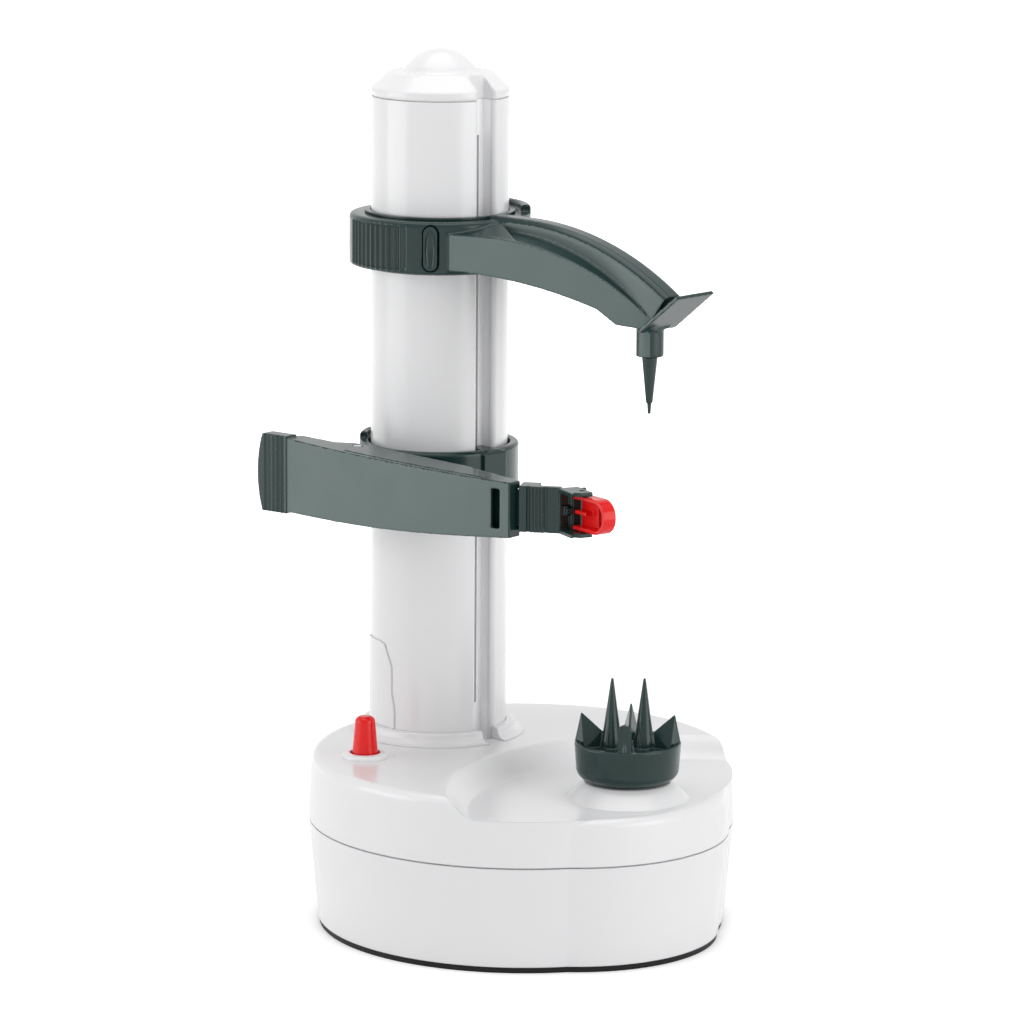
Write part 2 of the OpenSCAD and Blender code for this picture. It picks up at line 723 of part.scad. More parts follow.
module idler_axle() {
    color(steel) translate([idler_x, 0, 0]) {
        translate([0, 0, chassis_z - 4]) cylinder(r = axle_r, h = gear_top_z + 1.4 - chassis_z + 4);
        translate([0, 0, gear_top_z + 0.3]) cylinder(r = axle_r + 1.4, h = 0.8);
    }
}

module spindle_gear() {
    color(nylon) translate([spindle_x, 0, gear_z])
        spur_gear(gear_module, spindle_teeth, 0, gear_t, spindle_r);
}

module food_spindle() {
    color(steel) translate([spindle_x, 0, chassis_z - 1]) {
        cylinder(r = spindle_r, h = cone_top_z + cup_gap + 6 - chassis_z);
        translate([0, 0, 1 + chassis_t + 0.3]) cylinder(r = spindle_r + 1.2, h = gear_z - chassis_z - chassis_t - 0.3);
    }
}

module spindle_bush() {
    z0 = low_deck_z - shell_wall - 4;
    color(brass) translate([spindle_x, 0, z0]) difference() {
        cylinder(r = spindle_r + bush_wall, h = cone_top_z - z0);
        translate([0, 0, -1]) cylinder(r = spindle_r + run_fit, h = 30);
    }
}

// Three-sided fin that leans in from the rim
module cup_fin() {
    foot = cup_rim_z - cup_dish - tiny;
    out = cup_r - 0.9;
    hull() {
        translate([out - 0.6, 0, foot]) cylinder(r = 0.6, h = 1.6, $fn = 16);
        translate([out - 2.6, 2.6, foot]) cylinder(r = 0.6, h = 0.1, $fn = 16);
        translate([out - 2.6, -2.6, foot]) cylinder(r = 0.6, h = 0.1, $fn = 16);
        translate([spike_off + spike_r - 1.4, 0, foot]) cylinder(r = 0.6, h = 0.1, $fn = 16);
        translate([cup_r - 0.4, 0, cup_rim_z - 0.3]) sphere(r = 0.3, $fn = 16);
        translate([out - 8, 0, foot + 5]) sphere(r = 0.4, $fn = 16);
        translate([out - 1.4, 0, cup_rim_z + fin_h - 0.3]) sphere(r = 0.3, $fn = 16);
    }
}

module food_cup() {
    z0 = cone_top_z + cup_gap;
    foot = cup_rim_z - cup_dish;
    color(green) translate([spindle_x, 0, 0]) {
        difference() {
            rotate_extrude() polygon(concat([[0, z0], [cup_r - 5, z0]],
                arc(cup_r - 4.6, z0 + 4, 4, -85, -8, 7),
                arc(cup_r - 0.5, cup_rim_z - 0.5, 0.5, 0, 90, 3),
                [[cup_r - 1.6, cup_rim_z], [cup_r - 2.4, foot], [0, foot]]));
            translate([0, 0, z0 - 1]) cylinder(r = spindle_r, h = cone_top_z + cup_gap + 5 - z0 + 1);
        }
        for (i = [0:fin_count - 1]) rotate([0, 0, fin_dir + 360 / fin_count * i]) cup_fin();
        for (s = [-1, 1]) rotate([0, 0, spike_dir]) translate([s * spike_off, 0, foot - tiny])
            cylinder(r1 = spike_r, r2 = 0.4, h = cup_rim_z + spike_h - foot);
    }
}

module screw_gear() {
    color(nylon) translate([0, 0, gear_z]) spur_gear(gear_module, screw_teeth, 0, gear_t, screw_foot_r);
}

module lead_screw() {
    turns = floor((thread_z1 - thread_z0) / thread_lead);
    thread = [for (i = [0:turns - 1]) let (z = thread_z0 + i * thread_lead) each
        [[thread_root_r, z], [thread_crest_r, z + thread_lead * 0.3],
         [thread_crest_r, z + thread_lead * 0.5], [thread_root_r, z + thread_lead * 0.8]]];
    color(steel) {
        rotate_extrude() polygon(concat([[0, screw_z0], [screw_foot_r, screw_z0], [screw_foot_r, thread_z0 - 1]],
            thread, [[thread_root_r, thread_z1], [screw_tip_r, thread_z1 + 1], [screw_tip_r, screw_z1], [0, screw_z1]]));
        translate([0, 0, chassis_z + chassis_t + slide_gap])
            cylinder(r = screw_foot_r + 1.5, h = gear_z - chassis_z - chassis_t - slide_gap);
    }
}

module screw_foot_bush() {
    color(brass) translate([0, 0, chassis_z - 2]) difference() {
        cylinder(r = screw_foot_r + bush_wall, h = chassis_t + 2);
        translate([0, 0, -1]) cylinder(r = screw_foot_r + run_fit, h = 30);
    }
}

module screw_top_bush() {
    color(brass) translate([0, 0, cap_seam_z - 9]) difference() {
        cylinder(r = screw_tip_r + bush_wall, h = 9);
        translate([0, 0, -1]) cylinder(r = screw_tip_r + run_fit, h = 30);
    }
}

module groove_cut(z0, h) {
    r = groove_round;
    cy = groove_w / 2 + r;
    cx = sqrt(pow(col_r + groove_run_out - r, 2) - pow(cy, 2));
    a = atan2(cy, cx);
    translate([0, 0, z0]) linear_extrude(h) polygon(concat([[groove_floor_x, groove_w / 2], [groove_floor_x, -groove_w / 2]],
        arc(cx, -cy, r, 90, -a, 8), [[60 * cos(a), -60 * sin(a)], [60 * cos(a), 60 * sin(a)]],
        arc(cx, cy, r, a, -90, 8)));
}

module column_housing() {
    h = cap_seam_z - col_z0;
    color(white) difference() {
        union() {
            difference() {
                translate([0, 0, col_z0]) cylinder(r = col_r, h = h);
                translate([0, 0, col_z0 - 1]) cylinder(r = col_r - col_wall, h = h + 2);
            }
            difference() {
                intersection() {
                    translate([0, 0, deck_under_z - flange_t]) cylinder(r = flange_r, h = flange_t);
                    translate([lobe_a_x, 0, deck_under_z - flange_t]) cylinder(r = flange_trim_r, h = flange_t);
                }
                translate([0, 0, col_z0 - 1]) cylinder(r = col_r - 1, h = 30);
            }
        }
        groove_cut(deck_under_z, h);
        for (a = column_screw_angles) rotate([0, 0, a]) translate([col_r + 2.3, 0, deck_under_z - 10])
            cylinder(r = 1.3, h = 20);
    }
}

// U-shaped channel behind the column's groove, with the slot that the half nut reaches through
module guide_channel() {
    h = cap_seam_z - col_z0;
    color(white) difference() {
        intersection() {
            translate([0, 0, col_z0]) cylinder(r = col_r - col_wall, h = h);
            translate([groove_back_x, -groove_w / 2 - col_wall, col_z0]) cube([30, groove_w + 2 * col_wall, h]);
        }
        groove_cut(deck_under_z, h);
        translate([groove_back_x - 1, -slot_w / 2, thread_z0 + 4])
            cube([col_wall + 2, slot_w, thread_z1 - thread_z0 - 4]);
    }
}

module column_cap() {
    color(white) difference() {
        union() {
            rotate_extrude() polygon(concat([[0, cap_seam_z], [col_r, cap_seam_z], [col_r, cap_seam_z + cap_rim_h]],
                arc(cap_top_r - 0.8, cap_flat_z - 0.8, 0.8, 45, 90, 3), [[0, cap_flat_z]]));
            intersection() {
                translate([0, 0, top_z - dome_r]) sphere(r = dome_r, $fn = 96);
                translate([-30, -30, cap_flat_z - 1]) cube([60, 60, 30]);
            }
            difference() {
                translate([0, 0, cap_seam_z - cap_spigot_h]) cylinder(r = col_r - col_wall - 0.1, h = cap_spigot_h + 1);
                translate([0, 0, cap_seam_z - cap_spigot_h - 1]) cylinder(r = col_r - col_wall - 1.6, h = cap_spigot_h + 1);
                translate([groove_back_x - 0.2, -groove_w / 2 - col_wall - 0.2, cap_seam_z - cap_spigot_h - 1])
                    cube([30, groove_w + 2 * col_wall + 0.4, cap_spigot_h + 1]);
            }
            translate([0, 0, cap_seam_z - 9]) cylinder(r = screw_tip_r + bush_wall + 2, h = 10);
        }
        groove_cut(cap_seam_z - 1, 30);
        translate([0, 0, cap_seam_z - 10]) cylinder(r = screw_tip_r + bush_wall, h = 10);
    }
}

module column_screws() {
    color(steel) for (a = column_screw_angles) rotate([0, 0, a])
        translate([col_r + 2.3, 0, deck_under_z - flange_t - 1.2]) pan_screw(1, 6, 2, 1.2);
}

module end_stop_cover() {
    panel_t = 0.45;
    z1 = foot_z + panel_h;
    color(white) intersection() {
        difference() {
            translate([0, 0, foot_z]) cylinder(r = col_r + panel_t, h = panel_h);
            translate([0, 0, foot_z - 1]) cylinder(r = col_r, h = panel_h + 2);
        }
        rotate([0, 0, -105]) translate([10, 0, 0]) rotate([90, 0, 90]) linear_extrude(20)
            polygon([[-9.1, foot_z], [9, foot_z], [9, foot_z + 6.5], [7.9, foot_z + 12.5], [7.8, z1 - 8],
                [4.5, z1 - 0.8], [2, z1], [-9.1, z1]]);
    }
}

module limit_switch() {
    color(black) rotate([0, 0, -105]) translate([col_r - col_wall - 7.4, -6, foot_z + 4]) {
        cube([6.4, 12, 14]);
        translate([6.3, 3, 4]) cube([0.75, 6, 6]);
    }
}

module power_button() {
    top_r = 3;
    round_r = 2;
    color(red) translate([button_x, button_y, 0]) {
        rotate_extrude() polygon(concat([[0, button_flange_z - 2.4], [button_flange_r, button_flange_z - 2.4],
            [button_flange_r, button_flange_z], [button_r + 0.1, button_flange_z], [button_r, bezel_z]],
            arc(top_r - round_r + 0.4, bezel_z + button_h - round_r, round_r, 12, 90, 6),
            [[0, bezel_z + button_h]]));
        translate([0, 0, switch_top_z - 3]) cylinder(r = 1.6, h = button_flange_z - 2 - switch_top_z + 3);
    }
}

module power_button_spring() {
    turns = 3;
    z1 = button_flange_z - 2.4;
    color(steel) translate([button_x, button_y, 0])
        wire_sweep(coil_path(4.2, switch_top_z + wire_d / 2 + 0.02, z1 - switch_top_z - wire_d - 0.04, turns), wire_d);
}

module power_switch() {
    color(black) translate([button_x, button_y, switch_top_z - switch_h]) difference() {
        translate([-switch_w / 2, -switch_w / 2, 0]) cube([switch_w, switch_w, switch_h]);
        translate([0, 0, 2]) cylinder(r = 1.9, h = switch_h);
    }
}

module power_inlet() {
    face_x = lobe_a_x - lobe_a_r + wall_draft * (seam_z - inlet_z) / (seam_z - plate_t) - 0.1;
    color(black) translate([face_x + 1.6, 0, inlet_z]) rotate([0, 90, 0]) {
        difference() {
            union() {
                cylinder(r = inlet_bore_r + 1.25, h = 12);
                translate([-inlet_bore_r - 2, -inlet_bore_r - 2, 2.2]) cube([2 * inlet_bore_r + 4, 2 * inlet_bore_r + 4, 9.8]);
            }
            translate([0, 0, -1]) cylinder(r = inlet_bore_r, h = 10);
        }
        translate([0, 0, 0.4]) cylinder(r = 1, h = 9);
    }
}

// Puts its children in the lever's own frame: origin on the pin, X along the front face
module lever_frame() {
    translate([pin_x, pin_y, lever_z]) rotate([0, 0, lever_angle]) children();
}

// Section of the rim that stands up at the back of a ring
module raised_rim(r0, r1, z) {
    polygon([[r0, z - 1], [r1, z - 1], [r1, z + rim_rise - 0.8], [r1 - 0.8, z + rim_rise], [r0 + 0.6, z + rim_rise],
        [r0, z + rim_rise - 0.6]]);
}

module carriage_ring() {
    key_half = groove_w / 2 - slide_gap;
    block_half = 5.2;
    color(green) difference() {
        union() {
            difference() {
                union() {
                    rotate_extrude() polygon([[0, carriage_z0], [carriage_r, carriage_z0],
                        [carriage_r, carriage_z0 + carriage_h - 0.8], [carriage_r - 0.8, carriage_z0 + carriage_h],
                        [0, carriage_z0 + carriage_h]]);
                    rotate([0, 0, 172]) rotate_extrude(angle = 52) raised_rim(carriage_bore_r + 0.6,
                        carriage_r, carriage_z0 + carriage_h);
                    translate([18, -block_half, carriage_z0]) cube([carriage_r + 0.8 - 18, 2 * block_half, carriage_h - 0.6]);
                    translate([pin_x, pin_y, lug_z0]) cylinder(r = lug_r, h = lug_z1 - lug_z0);
                    translate([pin_x - 3, pin_y, lug_z0]) cube([6, -pin_y - 20, lug_z1 - lug_z0]);
                }
                translate([0, 0, carriage_z0 - 1]) cylinder(r = carriage_bore_r, h = carriage_h + 2);
            }
            translate([groove_floor_x + slide_gap, -key_half, carriage_z0])
                cube([carriage_r - groove_floor_x - slide_gap, 2 * key_half, carriage_h]);
            translate([nut_flat_x, -slot_w / 2 + slide_gap, lever_z - 7])
                cube([groove_floor_x + 1 - nut_flat_x, slot_w - 2 * slide_gap, 14]);
        }
        translate([pin_x, pin_y, 0]) cylinder(r = pin_r, h = through);
    }
}

module half_nut() {
    color(brass) intersection() {
        difference() {
            translate([0, 0, lever_z - 8]) cylinder(r = nut_flat_x + 1.5, h = 16);
            translate([0, 0, lever_z - 9]) cylinder(r = thread_crest_r + slide_gap, h = 18);
        }
        translate([1, -nut_flat_x, 0]) cube([nut_flat_x - 1, 2 * nut_flat_x, through]);
    }
}

module lever_pin() {
    color(steel) translate([pin_x, pin_y, lever_z - lever_low(0)])
        cylinder(r = pin_r, h = lever_low(0) + lever_high(0));
}

module lever_spring() {
    r = 3;
    rise = 5;
    turns = 4;
    z0 = lug_z1 - lever_z + wire_d / 2 + 0.03;
    wall_y = front_line(-r, -r, lever_wall)[0][1] + wire_d / 2 + 0.05;
    ring_y = 9.2;
    coil = [for (i = [0:turns * 16]) let (a = 180 - 360 * i / 16, f = i / (turns * 16))
        [r * cos(a), r * sin(a), z0 + rise * f]];
    color(steel) lever_frame()
        wire_sweep(concat([[-r - 0.01, wall_y, z0]], coil, [[-r + 0.01, ring_y, z0 + rise]]), wire_d);
}

// Upper and lower edge of the lever along its length, measured from its centre
function lever_run(x) = (x + pad_start) / (lever_reach + pad_start);
function lever_half(x) = (lever_h0 + (lever_h1 - lever_h0) * lever_run(x)) / 2 + 0.75 * sin(180 * lever_run(x));
function lever_high(x) = lever_half(x) - lever_sag * sin(180 * lever_run(x));
function lever_low(x) = lever_half(x) + lever_sag * sin(180 * lever_run(x)) + lever_drop * pow(lever_run(x), 3);

module lever_side(inset, depth) {
    n = 12;
    xs = [for (i = [0:n]) -pad_start + (lever_reach + pad_start) * i / n];
    rotate([90, 0, 0]) translate([0, 0, -depth]) linear_extrude(2 * depth)
        polygon(concat([for (x = xs) [x, lever_high(x) - inset]],
            [for (i = [n:-1:0]) [xs[i], -lever_low(xs[i]) + inset]]));
}

// Bowed front line of the lever, moved back by inset
function front_line(x0, x1, inset) = [for (i = [0:12]) let (x = x0 + (x1 - x0) * i / 12,
    t = 2 * lever_run(x) - 1) [x, -face_off - face_bow * (1 - t * t) + inset]];

module peeling_lever() {
    end_t = 5.8;
    back = -face_off + end_t;
    window_w = 3.1;
    pad_y = -face_off - 0.6;
    bulge = 2.2;
    bulge_r = (pow(pad_h / 2, 2) + pow(bulge, 2)) / (2 * bulge);
    color(green) lever_frame() difference() {
        union() {
            intersection() {
                lever_side(0, 40);
                translate([0, 0, -20]) linear_extrude(40) polygon(concat(front_line(-pad_start, lever_reach, 0),
                    [[lever_reach, back], [45, 2.6], [12, 3.6], [3, 3.8], [-4, 3.4], [-9, -0.6], [-pad_start, -1]]));
            }
            difference() {
                union() {
                    translate([-pad_start - pad_l, pad_y, -pad_h / 2]) cube([pad_l + 0.6, 5.6, pad_h]);
                    intersection() {
                        translate([-pad_start - pad_l - bulge + bulge_r, pad_y, 0]) rotate([-90, 0, 0])
                            cylinder(r = bulge_r, h = 5.6);
                        translate([-pad_start - pad_l - 5, pad_y, -pad_h / 2]) cube([6, 5.6, pad_h]);
                    }
                }
                for (i = [0:3]) translate([-pad_start - 1 - 2 * i, pad_y, 0])
                    cylinder(r = 0.45, h = 40, center = true, $fn = 24);
            }
        }
        difference() {
            intersection() {
                lever_side(lever_wall, 40);
                translate([0, 0, -20]) linear_extrude(40) polygon(concat(
                    front_line(-pad_start + 2, lever_reach - 2, lever_wall), [[lever_reach - 2, 20], [-pad_start + 2, 20]]));
            }
            for (x = [24, 46]) translate([x, -face_off - 3, -20]) cube([1.2, 10, 40]);
        }
        cylinder(r = pin_r + run_fit, h = 60, center = true);
        translate([lever_reach - 7, -face_off - 2, -6.8]) cube([window_w, 4.4, 13]);
        translate([lever_reach - 3, -face_off + 3.65, -6.15]) cube([6, 2.3, 12.3]);
    }
}

// Puts its children in the blade holder's frame: X along the holder from the lever's end
module holder_frame() {
    lever_frame() translate([lever_reach, -face_off + 4.8, 0]) rotate([0, 0, holder_angle]) children();
}

// Puts its children in the yoke's frame: X along its arms
module yoke_frame() {
    holder_frame() translate([holder_l + 1.8, -1, 0]) rotate([0, 0, -yoke_turn]) children();
}

module blade_holder() {
    h2 = yoke_h / 2;
    g2 = holder_h / 2;
    front = -holder_t / 2;
    color(green) {
        lever_frame() translate([lever_reach - 11, -face_off + 3.8, -6]) cube([12.8, 2, 12]);
        holder_frame() difference() {
            union() {
                translate([0.6, front, -g2]) cube([2.6, holder_t, holder_h]);
                translate([3, front + 0.7, -g2]) cube([1.4, holder_t - 0.7, holder_h]);
                translate([4.2, front, -g2]) cube([3, holder_t, holder_h]);
                translate([7, front, -g2]) cube([holder_l - 7, holder_t - 2.4, holder_h]);
                translate([0.6, -front - 0.5, -g2]) cube([6, 3.2, holder_h]);
                for (i = [0:3]) translate([4.8 + 1.2 * i, front, -g2]) cylinder(r = 0.4, h = holder_h, $fn = 24);
            }
            translate([9.2, front - 0.5, -g2 - 1]) cube([0.9, 0.9, holder_h + 2]);
        }
        holder_frame() translate([holder_l - 1, -2.4, -1.6]) cube([3.4, 2.6, 3.2]);
        yoke_frame() difference() {
            union() {
                translate([-0.8, -3.2, -h2]) cube([1.6, 7.4, yoke_h]);
                translate([0.5, 1.4, -h2]) cube([1.3, 2.8, yoke_h]);
                for (s = [-1, 1]) translate([0, -3.2, s > 0 ? h2 - yoke_t : -h2]) cube([yoke_l, 7.4, yoke_t]);
                translate([-1, -1.2, -1]) cube([3.2, 2.4, 2]);
            }
            for (s = [-1, 1]) translate([0, -2.2, s * 3.6 - 2]) cube([4, 3, 4]);
            translate([head_pivot, 2.2, -20]) cylinder(r = 0.8 + run_fit, h = 40);
            for (s = [-1, 1]) translate([yoke_l, -3.2, s * h2 - 5]) rotate([0, 0, 45]) cube([2.2, 2.2, 10], center = false);
        }
    }
}

// Puts its children in the blade head's frame: origin on its pivot
module head_frame() {
    yoke_frame() translate([head_pivot, 2.2, 0]) rotate([0, 0, head_turn]) children();
}

module head_outline(inset) {
    r = head_h / 2;
    x0 = 3.2 - head_pivot;
    x1 = x0 + head_l;
    polygon(concat([[x0, -r + inset]], arc(x1 - r, 0, r - inset, -90, 90, 14), [[x0, r - inset]]));
}

module blade_head() {
    front = 1 - 2.2;
    x0 = 3.2 - head_pivot;
    color(red) head_frame() {
        difference() {
            translate([0, front, 0]) rotate([90, 0, 0]) translate([0, 0, -head_t]) linear_extrude(head_t) head_outline(0);
            translate([0, front - 1, 0]) rotate([90, 0, 0]) translate([0, 0, -head_t + head_wall - 1])
                linear_extrude(head_t - head_wall + 1) {
                    head_outline(head_wall);
                    translate([x0 - 1, -head_h / 2 + head_wall]) square([2, head_h - 2 * head_wall]);
                }
            translate([x0 + head_l - 8, head_t + front - 3, -3.9]) cube([1.4, 5, 7.8]);
        }
        translate([x0, front + head_t - 4, -0.6]) cube([6, 3.5, 1.2]);
        for (s = [-1, 1]) translate([0, 0, s * (head_h / 2 + 0.5)]) cylinder(r = 0.8, h = 1.8, center = true);
    }
}

module blade() {
    x0 = 3.2 - head_pivot + head_l - 10;
    color(steel) head_frame() translate([x0, head_t - 1.2, -4.9])
        linear_extrude(9.8) polygon([[0, 0], [4, 0], [4.9, 0.6], [4.7, 0.85], [3.9, 0.45], [0, 0.45]]);
}

// Puts its children in the arm's frame: swung round the column
module arm_frame() {
    rotate([0, 0, arm_swing]) children();
}

module arm_bush() {
    color(black) difference() {
        union() {
            translate([0, 0, arm_ring_z - slide_gap]) cylinder(r = bush_out_r, h = arm_ring_h + 2 * slide_gap);
            for (z = [arm_ring_z - slide_gap - bush_lip, arm_top_z + slide_gap])
                translate([0, 0, z]) cylinder(r = bush_out_r + 0.7, h = bush_lip);
        }
        translate([0, 0, arm_ring_z - 5]) cylinder(r = bush_in_r, h = arm_ring_h + 10);
    }
}

// Solid swept along the arch of the arm; the section is drawn at the arch's top
module arch_sweep(arch_r, x0, top_z, x1) {
    a = asin((x1 - x0) / arch_r);
    translate([x0, 0, top_z - arch_r]) rotate([90, 0, 0]) rotate([0, 0, 90 - a])
        rotate_extrude(angle = a, $fn = 180) translate([arch_r, 0]) rotate([0, 0, -90]) children();
    translate([x0, 0, top_z]) rotate([0, -90, 0]) linear_extrude(x0 - 20) rotate([0, 0, -90]) children();
}

module ridge_section() {
    w = ridge_half_w;
    polygon(concat(arc(w - 2.6, -2.6, 2.6, 90, 0, 6), [[w, -13], [-w, -13]], arc(-w + 2.6, -2.6, 2.6, 180, 90, 6)));
}

// Lower outline of the arm, to trim it from below
module arm_belly(drop) {
    r = 177;
    x0 = 21.4;
    z0 = arm_ring_z + 1.4;
    n = 8;
    x1 = 76;
    rotate([90, 0, 0]) linear_extrude(80, center = true) polygon(concat([[0, z0 - drop], [x0, z0 - drop]],
        [for (i = [1:n]) let (x = x0 + (x1 - x0) * i / n) [x, z0 - drop - r + sqrt(r * r - pow(x - x0, 2))]],
        [[x1 + 7, tab_z + 1.5], [tab_x + 1, tab_z + 0.6], [150, tab_z + 0.6], [150, 120], [0, 120]]));
}

module arm_wedge(inset) {
    translate([0, 0, 180]) linear_extrude(80)
        polygon([[14, -arm_half_w0 + inset], [14, arm_half_w0 - inset], [arm_end_x, arm_half_w1 - inset],
            [arm_end_x, -arm_half_w1 + inset]]);
}

// Sloping facet from the ring's top down to the side wall's edge
module arm_gusset() {
    b = [gusset_x, arm_half_w0 + (arm_half_w1 - arm_half_w0) * (gusset_x - 14) / (arm_end_x - 14)];
    bz = arm_side_z - side_arch_r + sqrt(pow(side_arch_r, 2) - pow(gusset_x - side_arch_x, 2));
    spots = [[16, 22.8, arm_side_z], [b[0], b[1], bz], [25, 0, arm_ridge_z - 0.3]];
    across = cross(spots[1] - spots[0], spots[2] - spots[0]);
    up = across / norm(across) * (across[2] > 0 ? 1 : -1);
    intersection() {
        translate([0, 0, arm_side_z - 3]) linear_extrude(12) polygon([for (p = spots) [p[0], p[1]]]);
        translate(spots[0]) rotate(a = acos(up[2]), v = cross([0, 0, 1], up))
            translate([-100, -100, -60]) cube([200, 200, 60]);
    }
}

module arm_body() {
    difference() {
        union() {
            intersection() {
                arch_sweep(side_arch_r, side_arch_x, arm_side_z, arm_end_x + 2) translate([-30, -30]) square([60, 30]);
                arm_wedge(0);
            }
            arch_sweep(ridge_arch_r, arch_x, arm_ridge_z, spindle_x + 10) ridge_section();
            for (m = [0, 1]) mirror([0, m, 0]) arm_gusset();
        }
        arm_belly(0);
        // hollow underside with cross ribs
        difference() {
            intersection() {
                arch_sweep(side_arch_r - 2.4, side_arch_x, arm_side_z - 2.4, arm_end_x)
                    translate([-30, -30]) square([60, 30]);
                arm_wedge(2);
                translate([arm_ring_r + 1, -40, 150]) cube([46, 80, 100]);
            }
            for (x = [arm_rib_x, arm_rib_x + arm_rib_gap]) translate([x, -30, 150]) cube([1.4, 60, 100]);
        }
    }
}

module holding_arm() {
    rib_gap = 4.5;
    color(green) arm_frame() difference() {
        union() {
            rotate_extrude() polygon([[0, arm_ring_z], [arm_ring_r - 0.5, arm_ring_z], [arm_ring_r, arm_ring_z + 0.5],
                [arm_ring_r, arm_top_z - 1.4], [arm_ring_r - 0.4, arm_top_z - 0.4], [arm_ring_r - 1.4, arm_top_z],
                [0, arm_top_z]]);
            for (i = [0:rib_count - 1]) rotate([0, 0, -119 + rib_gap * i])
                translate([arm_ring_r, 0, arm_ring_z + 1]) cylinder(r = 0.6, h = arm_ring_h - 2.6, $fn = 16);
            rotate([0, 0, 40]) rotate_extrude(angle = 58) raised_rim(arm_ring_r - 3.2, arm_ring_r, arm_top_z);
            arm_body();
            translate([spindle_x, 0, boss_z]) cylinder(r = boss_r, h = tab_z - boss_z + 4);
            translate([tab_x, -tab_w / 2, tab_z]) rotate([0, -tab_slope, 0]) cube([tab_l, tab_w, tab_t]);
        }
        translate([0, 0, arm_ring_z - 5]) cylinder(r = arm_bore_r, h = arm_ring_h + 30);
        translate([0, 0, arm_top_z]) cylinder(r = bush_out_r + 0.7 + slide_gap, h = 30);
        translate([spindle_x, 0, boss_z - 1]) cylinder(r = top_shaft_r + run_fit, h = 8);
        translate([spindle_x, 0, boss_z + 6]) cylinder(r = top_shaft_r + 1.3, h = 3);
        lock_pocket(slide_gap, lock_floor_r, arm_ring_r + 5);
    }
}

// Upright oval, pushed out along the lock button's direction
module lock_pocket(gap, r0, r1) {
    w = lock_w + 2 * gap;
    straight = lock_h - lock_w;
    rotate([0, 0, lock_dir]) translate([r0, 0, lock_z]) rotate([0, 90, 0]) {
        translate([-straight / 2, -w / 2, 0]) cube([straight, w, r1 - r0]);
        for (s = [-1, 1]) translate([s * straight / 2, 0, 0]) cylinder(d = w, h = r1 - r0);
    }
}

module lock_button() {
    color(green) arm_frame() difference() {
        lock_pocket(0, lock_in_r, lock_out_r);
        rotate([0, 0, lock_dir]) translate([lock_in_r - 1, 0, lock_z]) rotate([0, 90, 0]) cylinder(r = 1.7, h = 3.6);
    }
}

module lock_spring() {
    wire = 0.35;
    color(steel) arm_frame() rotate([0, 0, lock_dir]) translate([0, 0, lock_z]) rotate([0, 90, 0])
        wire_sweep(coil_path(1.3, lock_floor_r + wire / 2 + 0.02, lock_in_r + 2.6 - lock_floor_r - wire - 0.04, 4, 12), wire, 5);
}

module top_spike() {
    head_z = boss_z + 6.25;
    color(green) arm_frame() translate([spindle_x, 0, 0]) {
        rotate_extrude() polygon([[0, boss_z - top_spike_l], [0.5, boss_z - top_spike_l + 0.3],
            [0.7, boss_z - top_spike_l + 3.6], [1.1, boss_z - top_spike_l + 3.9], [2.6, boss_z - 0.3], [0, boss_z - 0.3]]);
        translate([0, 0, boss_z - 0.4]) cylinder(r = top_shaft_r, h = head_z - boss_z + 0.5);
        translate([0, 0, head_z]) cylinder(r = top_shaft_r + 0.9, h = 2.2);
    }
}

base_plate();
battery_door();
battery_tray();
battery_cells();
battery_contacts();
base_lower_shell();
base_top_cover();
base_screws();
gear_plate();
gear_plate_screws();
motor();
motor_pinion();
compound_idler();
idler_axle();
spindle_gear();
food_spindle();
spindle_bush();
food_cup();
screw_gear();
lead_screw();
screw_foot_bush();
screw_top_bush();
column_housing();
guide_channel();
column_cap();
column_screws();
end_stop_cover();
limit_switch();
power_button();
power_button_spring();
power_switch();
power_inlet();
carriage_ring();
half_nut();
lever_pin();
lever_spring();
peeling_lever();
blade_holder();
blade_head();
blade();
arm_bush();
holding_arm();
lock_button();
lock_spring();
top_spike();
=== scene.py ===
import json
import math

import bmesh
import bpy
from mathutils import Matrix, Vector


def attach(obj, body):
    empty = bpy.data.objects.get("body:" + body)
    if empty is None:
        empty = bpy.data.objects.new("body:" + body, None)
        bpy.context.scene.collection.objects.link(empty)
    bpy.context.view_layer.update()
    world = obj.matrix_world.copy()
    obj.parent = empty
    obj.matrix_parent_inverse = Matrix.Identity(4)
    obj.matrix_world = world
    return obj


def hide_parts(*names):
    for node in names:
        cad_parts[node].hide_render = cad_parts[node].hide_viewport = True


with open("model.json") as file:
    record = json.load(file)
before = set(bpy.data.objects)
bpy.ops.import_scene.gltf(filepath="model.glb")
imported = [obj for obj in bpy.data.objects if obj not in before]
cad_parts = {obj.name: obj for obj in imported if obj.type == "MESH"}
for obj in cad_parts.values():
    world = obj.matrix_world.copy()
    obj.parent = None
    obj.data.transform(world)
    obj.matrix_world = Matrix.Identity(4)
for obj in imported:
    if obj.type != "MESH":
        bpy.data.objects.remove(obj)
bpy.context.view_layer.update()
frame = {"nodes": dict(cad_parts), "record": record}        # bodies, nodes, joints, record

NODES = frame["nodes"]
BODY = {n: b for b, ns in frame["record"]["behaviour"]["bodies"].items() for n in ns}
MM = 0.001


# Materials

def new_material(name):
    m = bpy.data.materials.new(name)
    m.use_nodes = True
    t = m.node_tree
    t.nodes.clear()
    out = t.nodes.new("ShaderNodeOutputMaterial")
    p = t.nodes.new("ShaderNodeBsdfPrincipled")
    t.links.new(p.outputs[0], out.inputs[0])
    return m, t, p


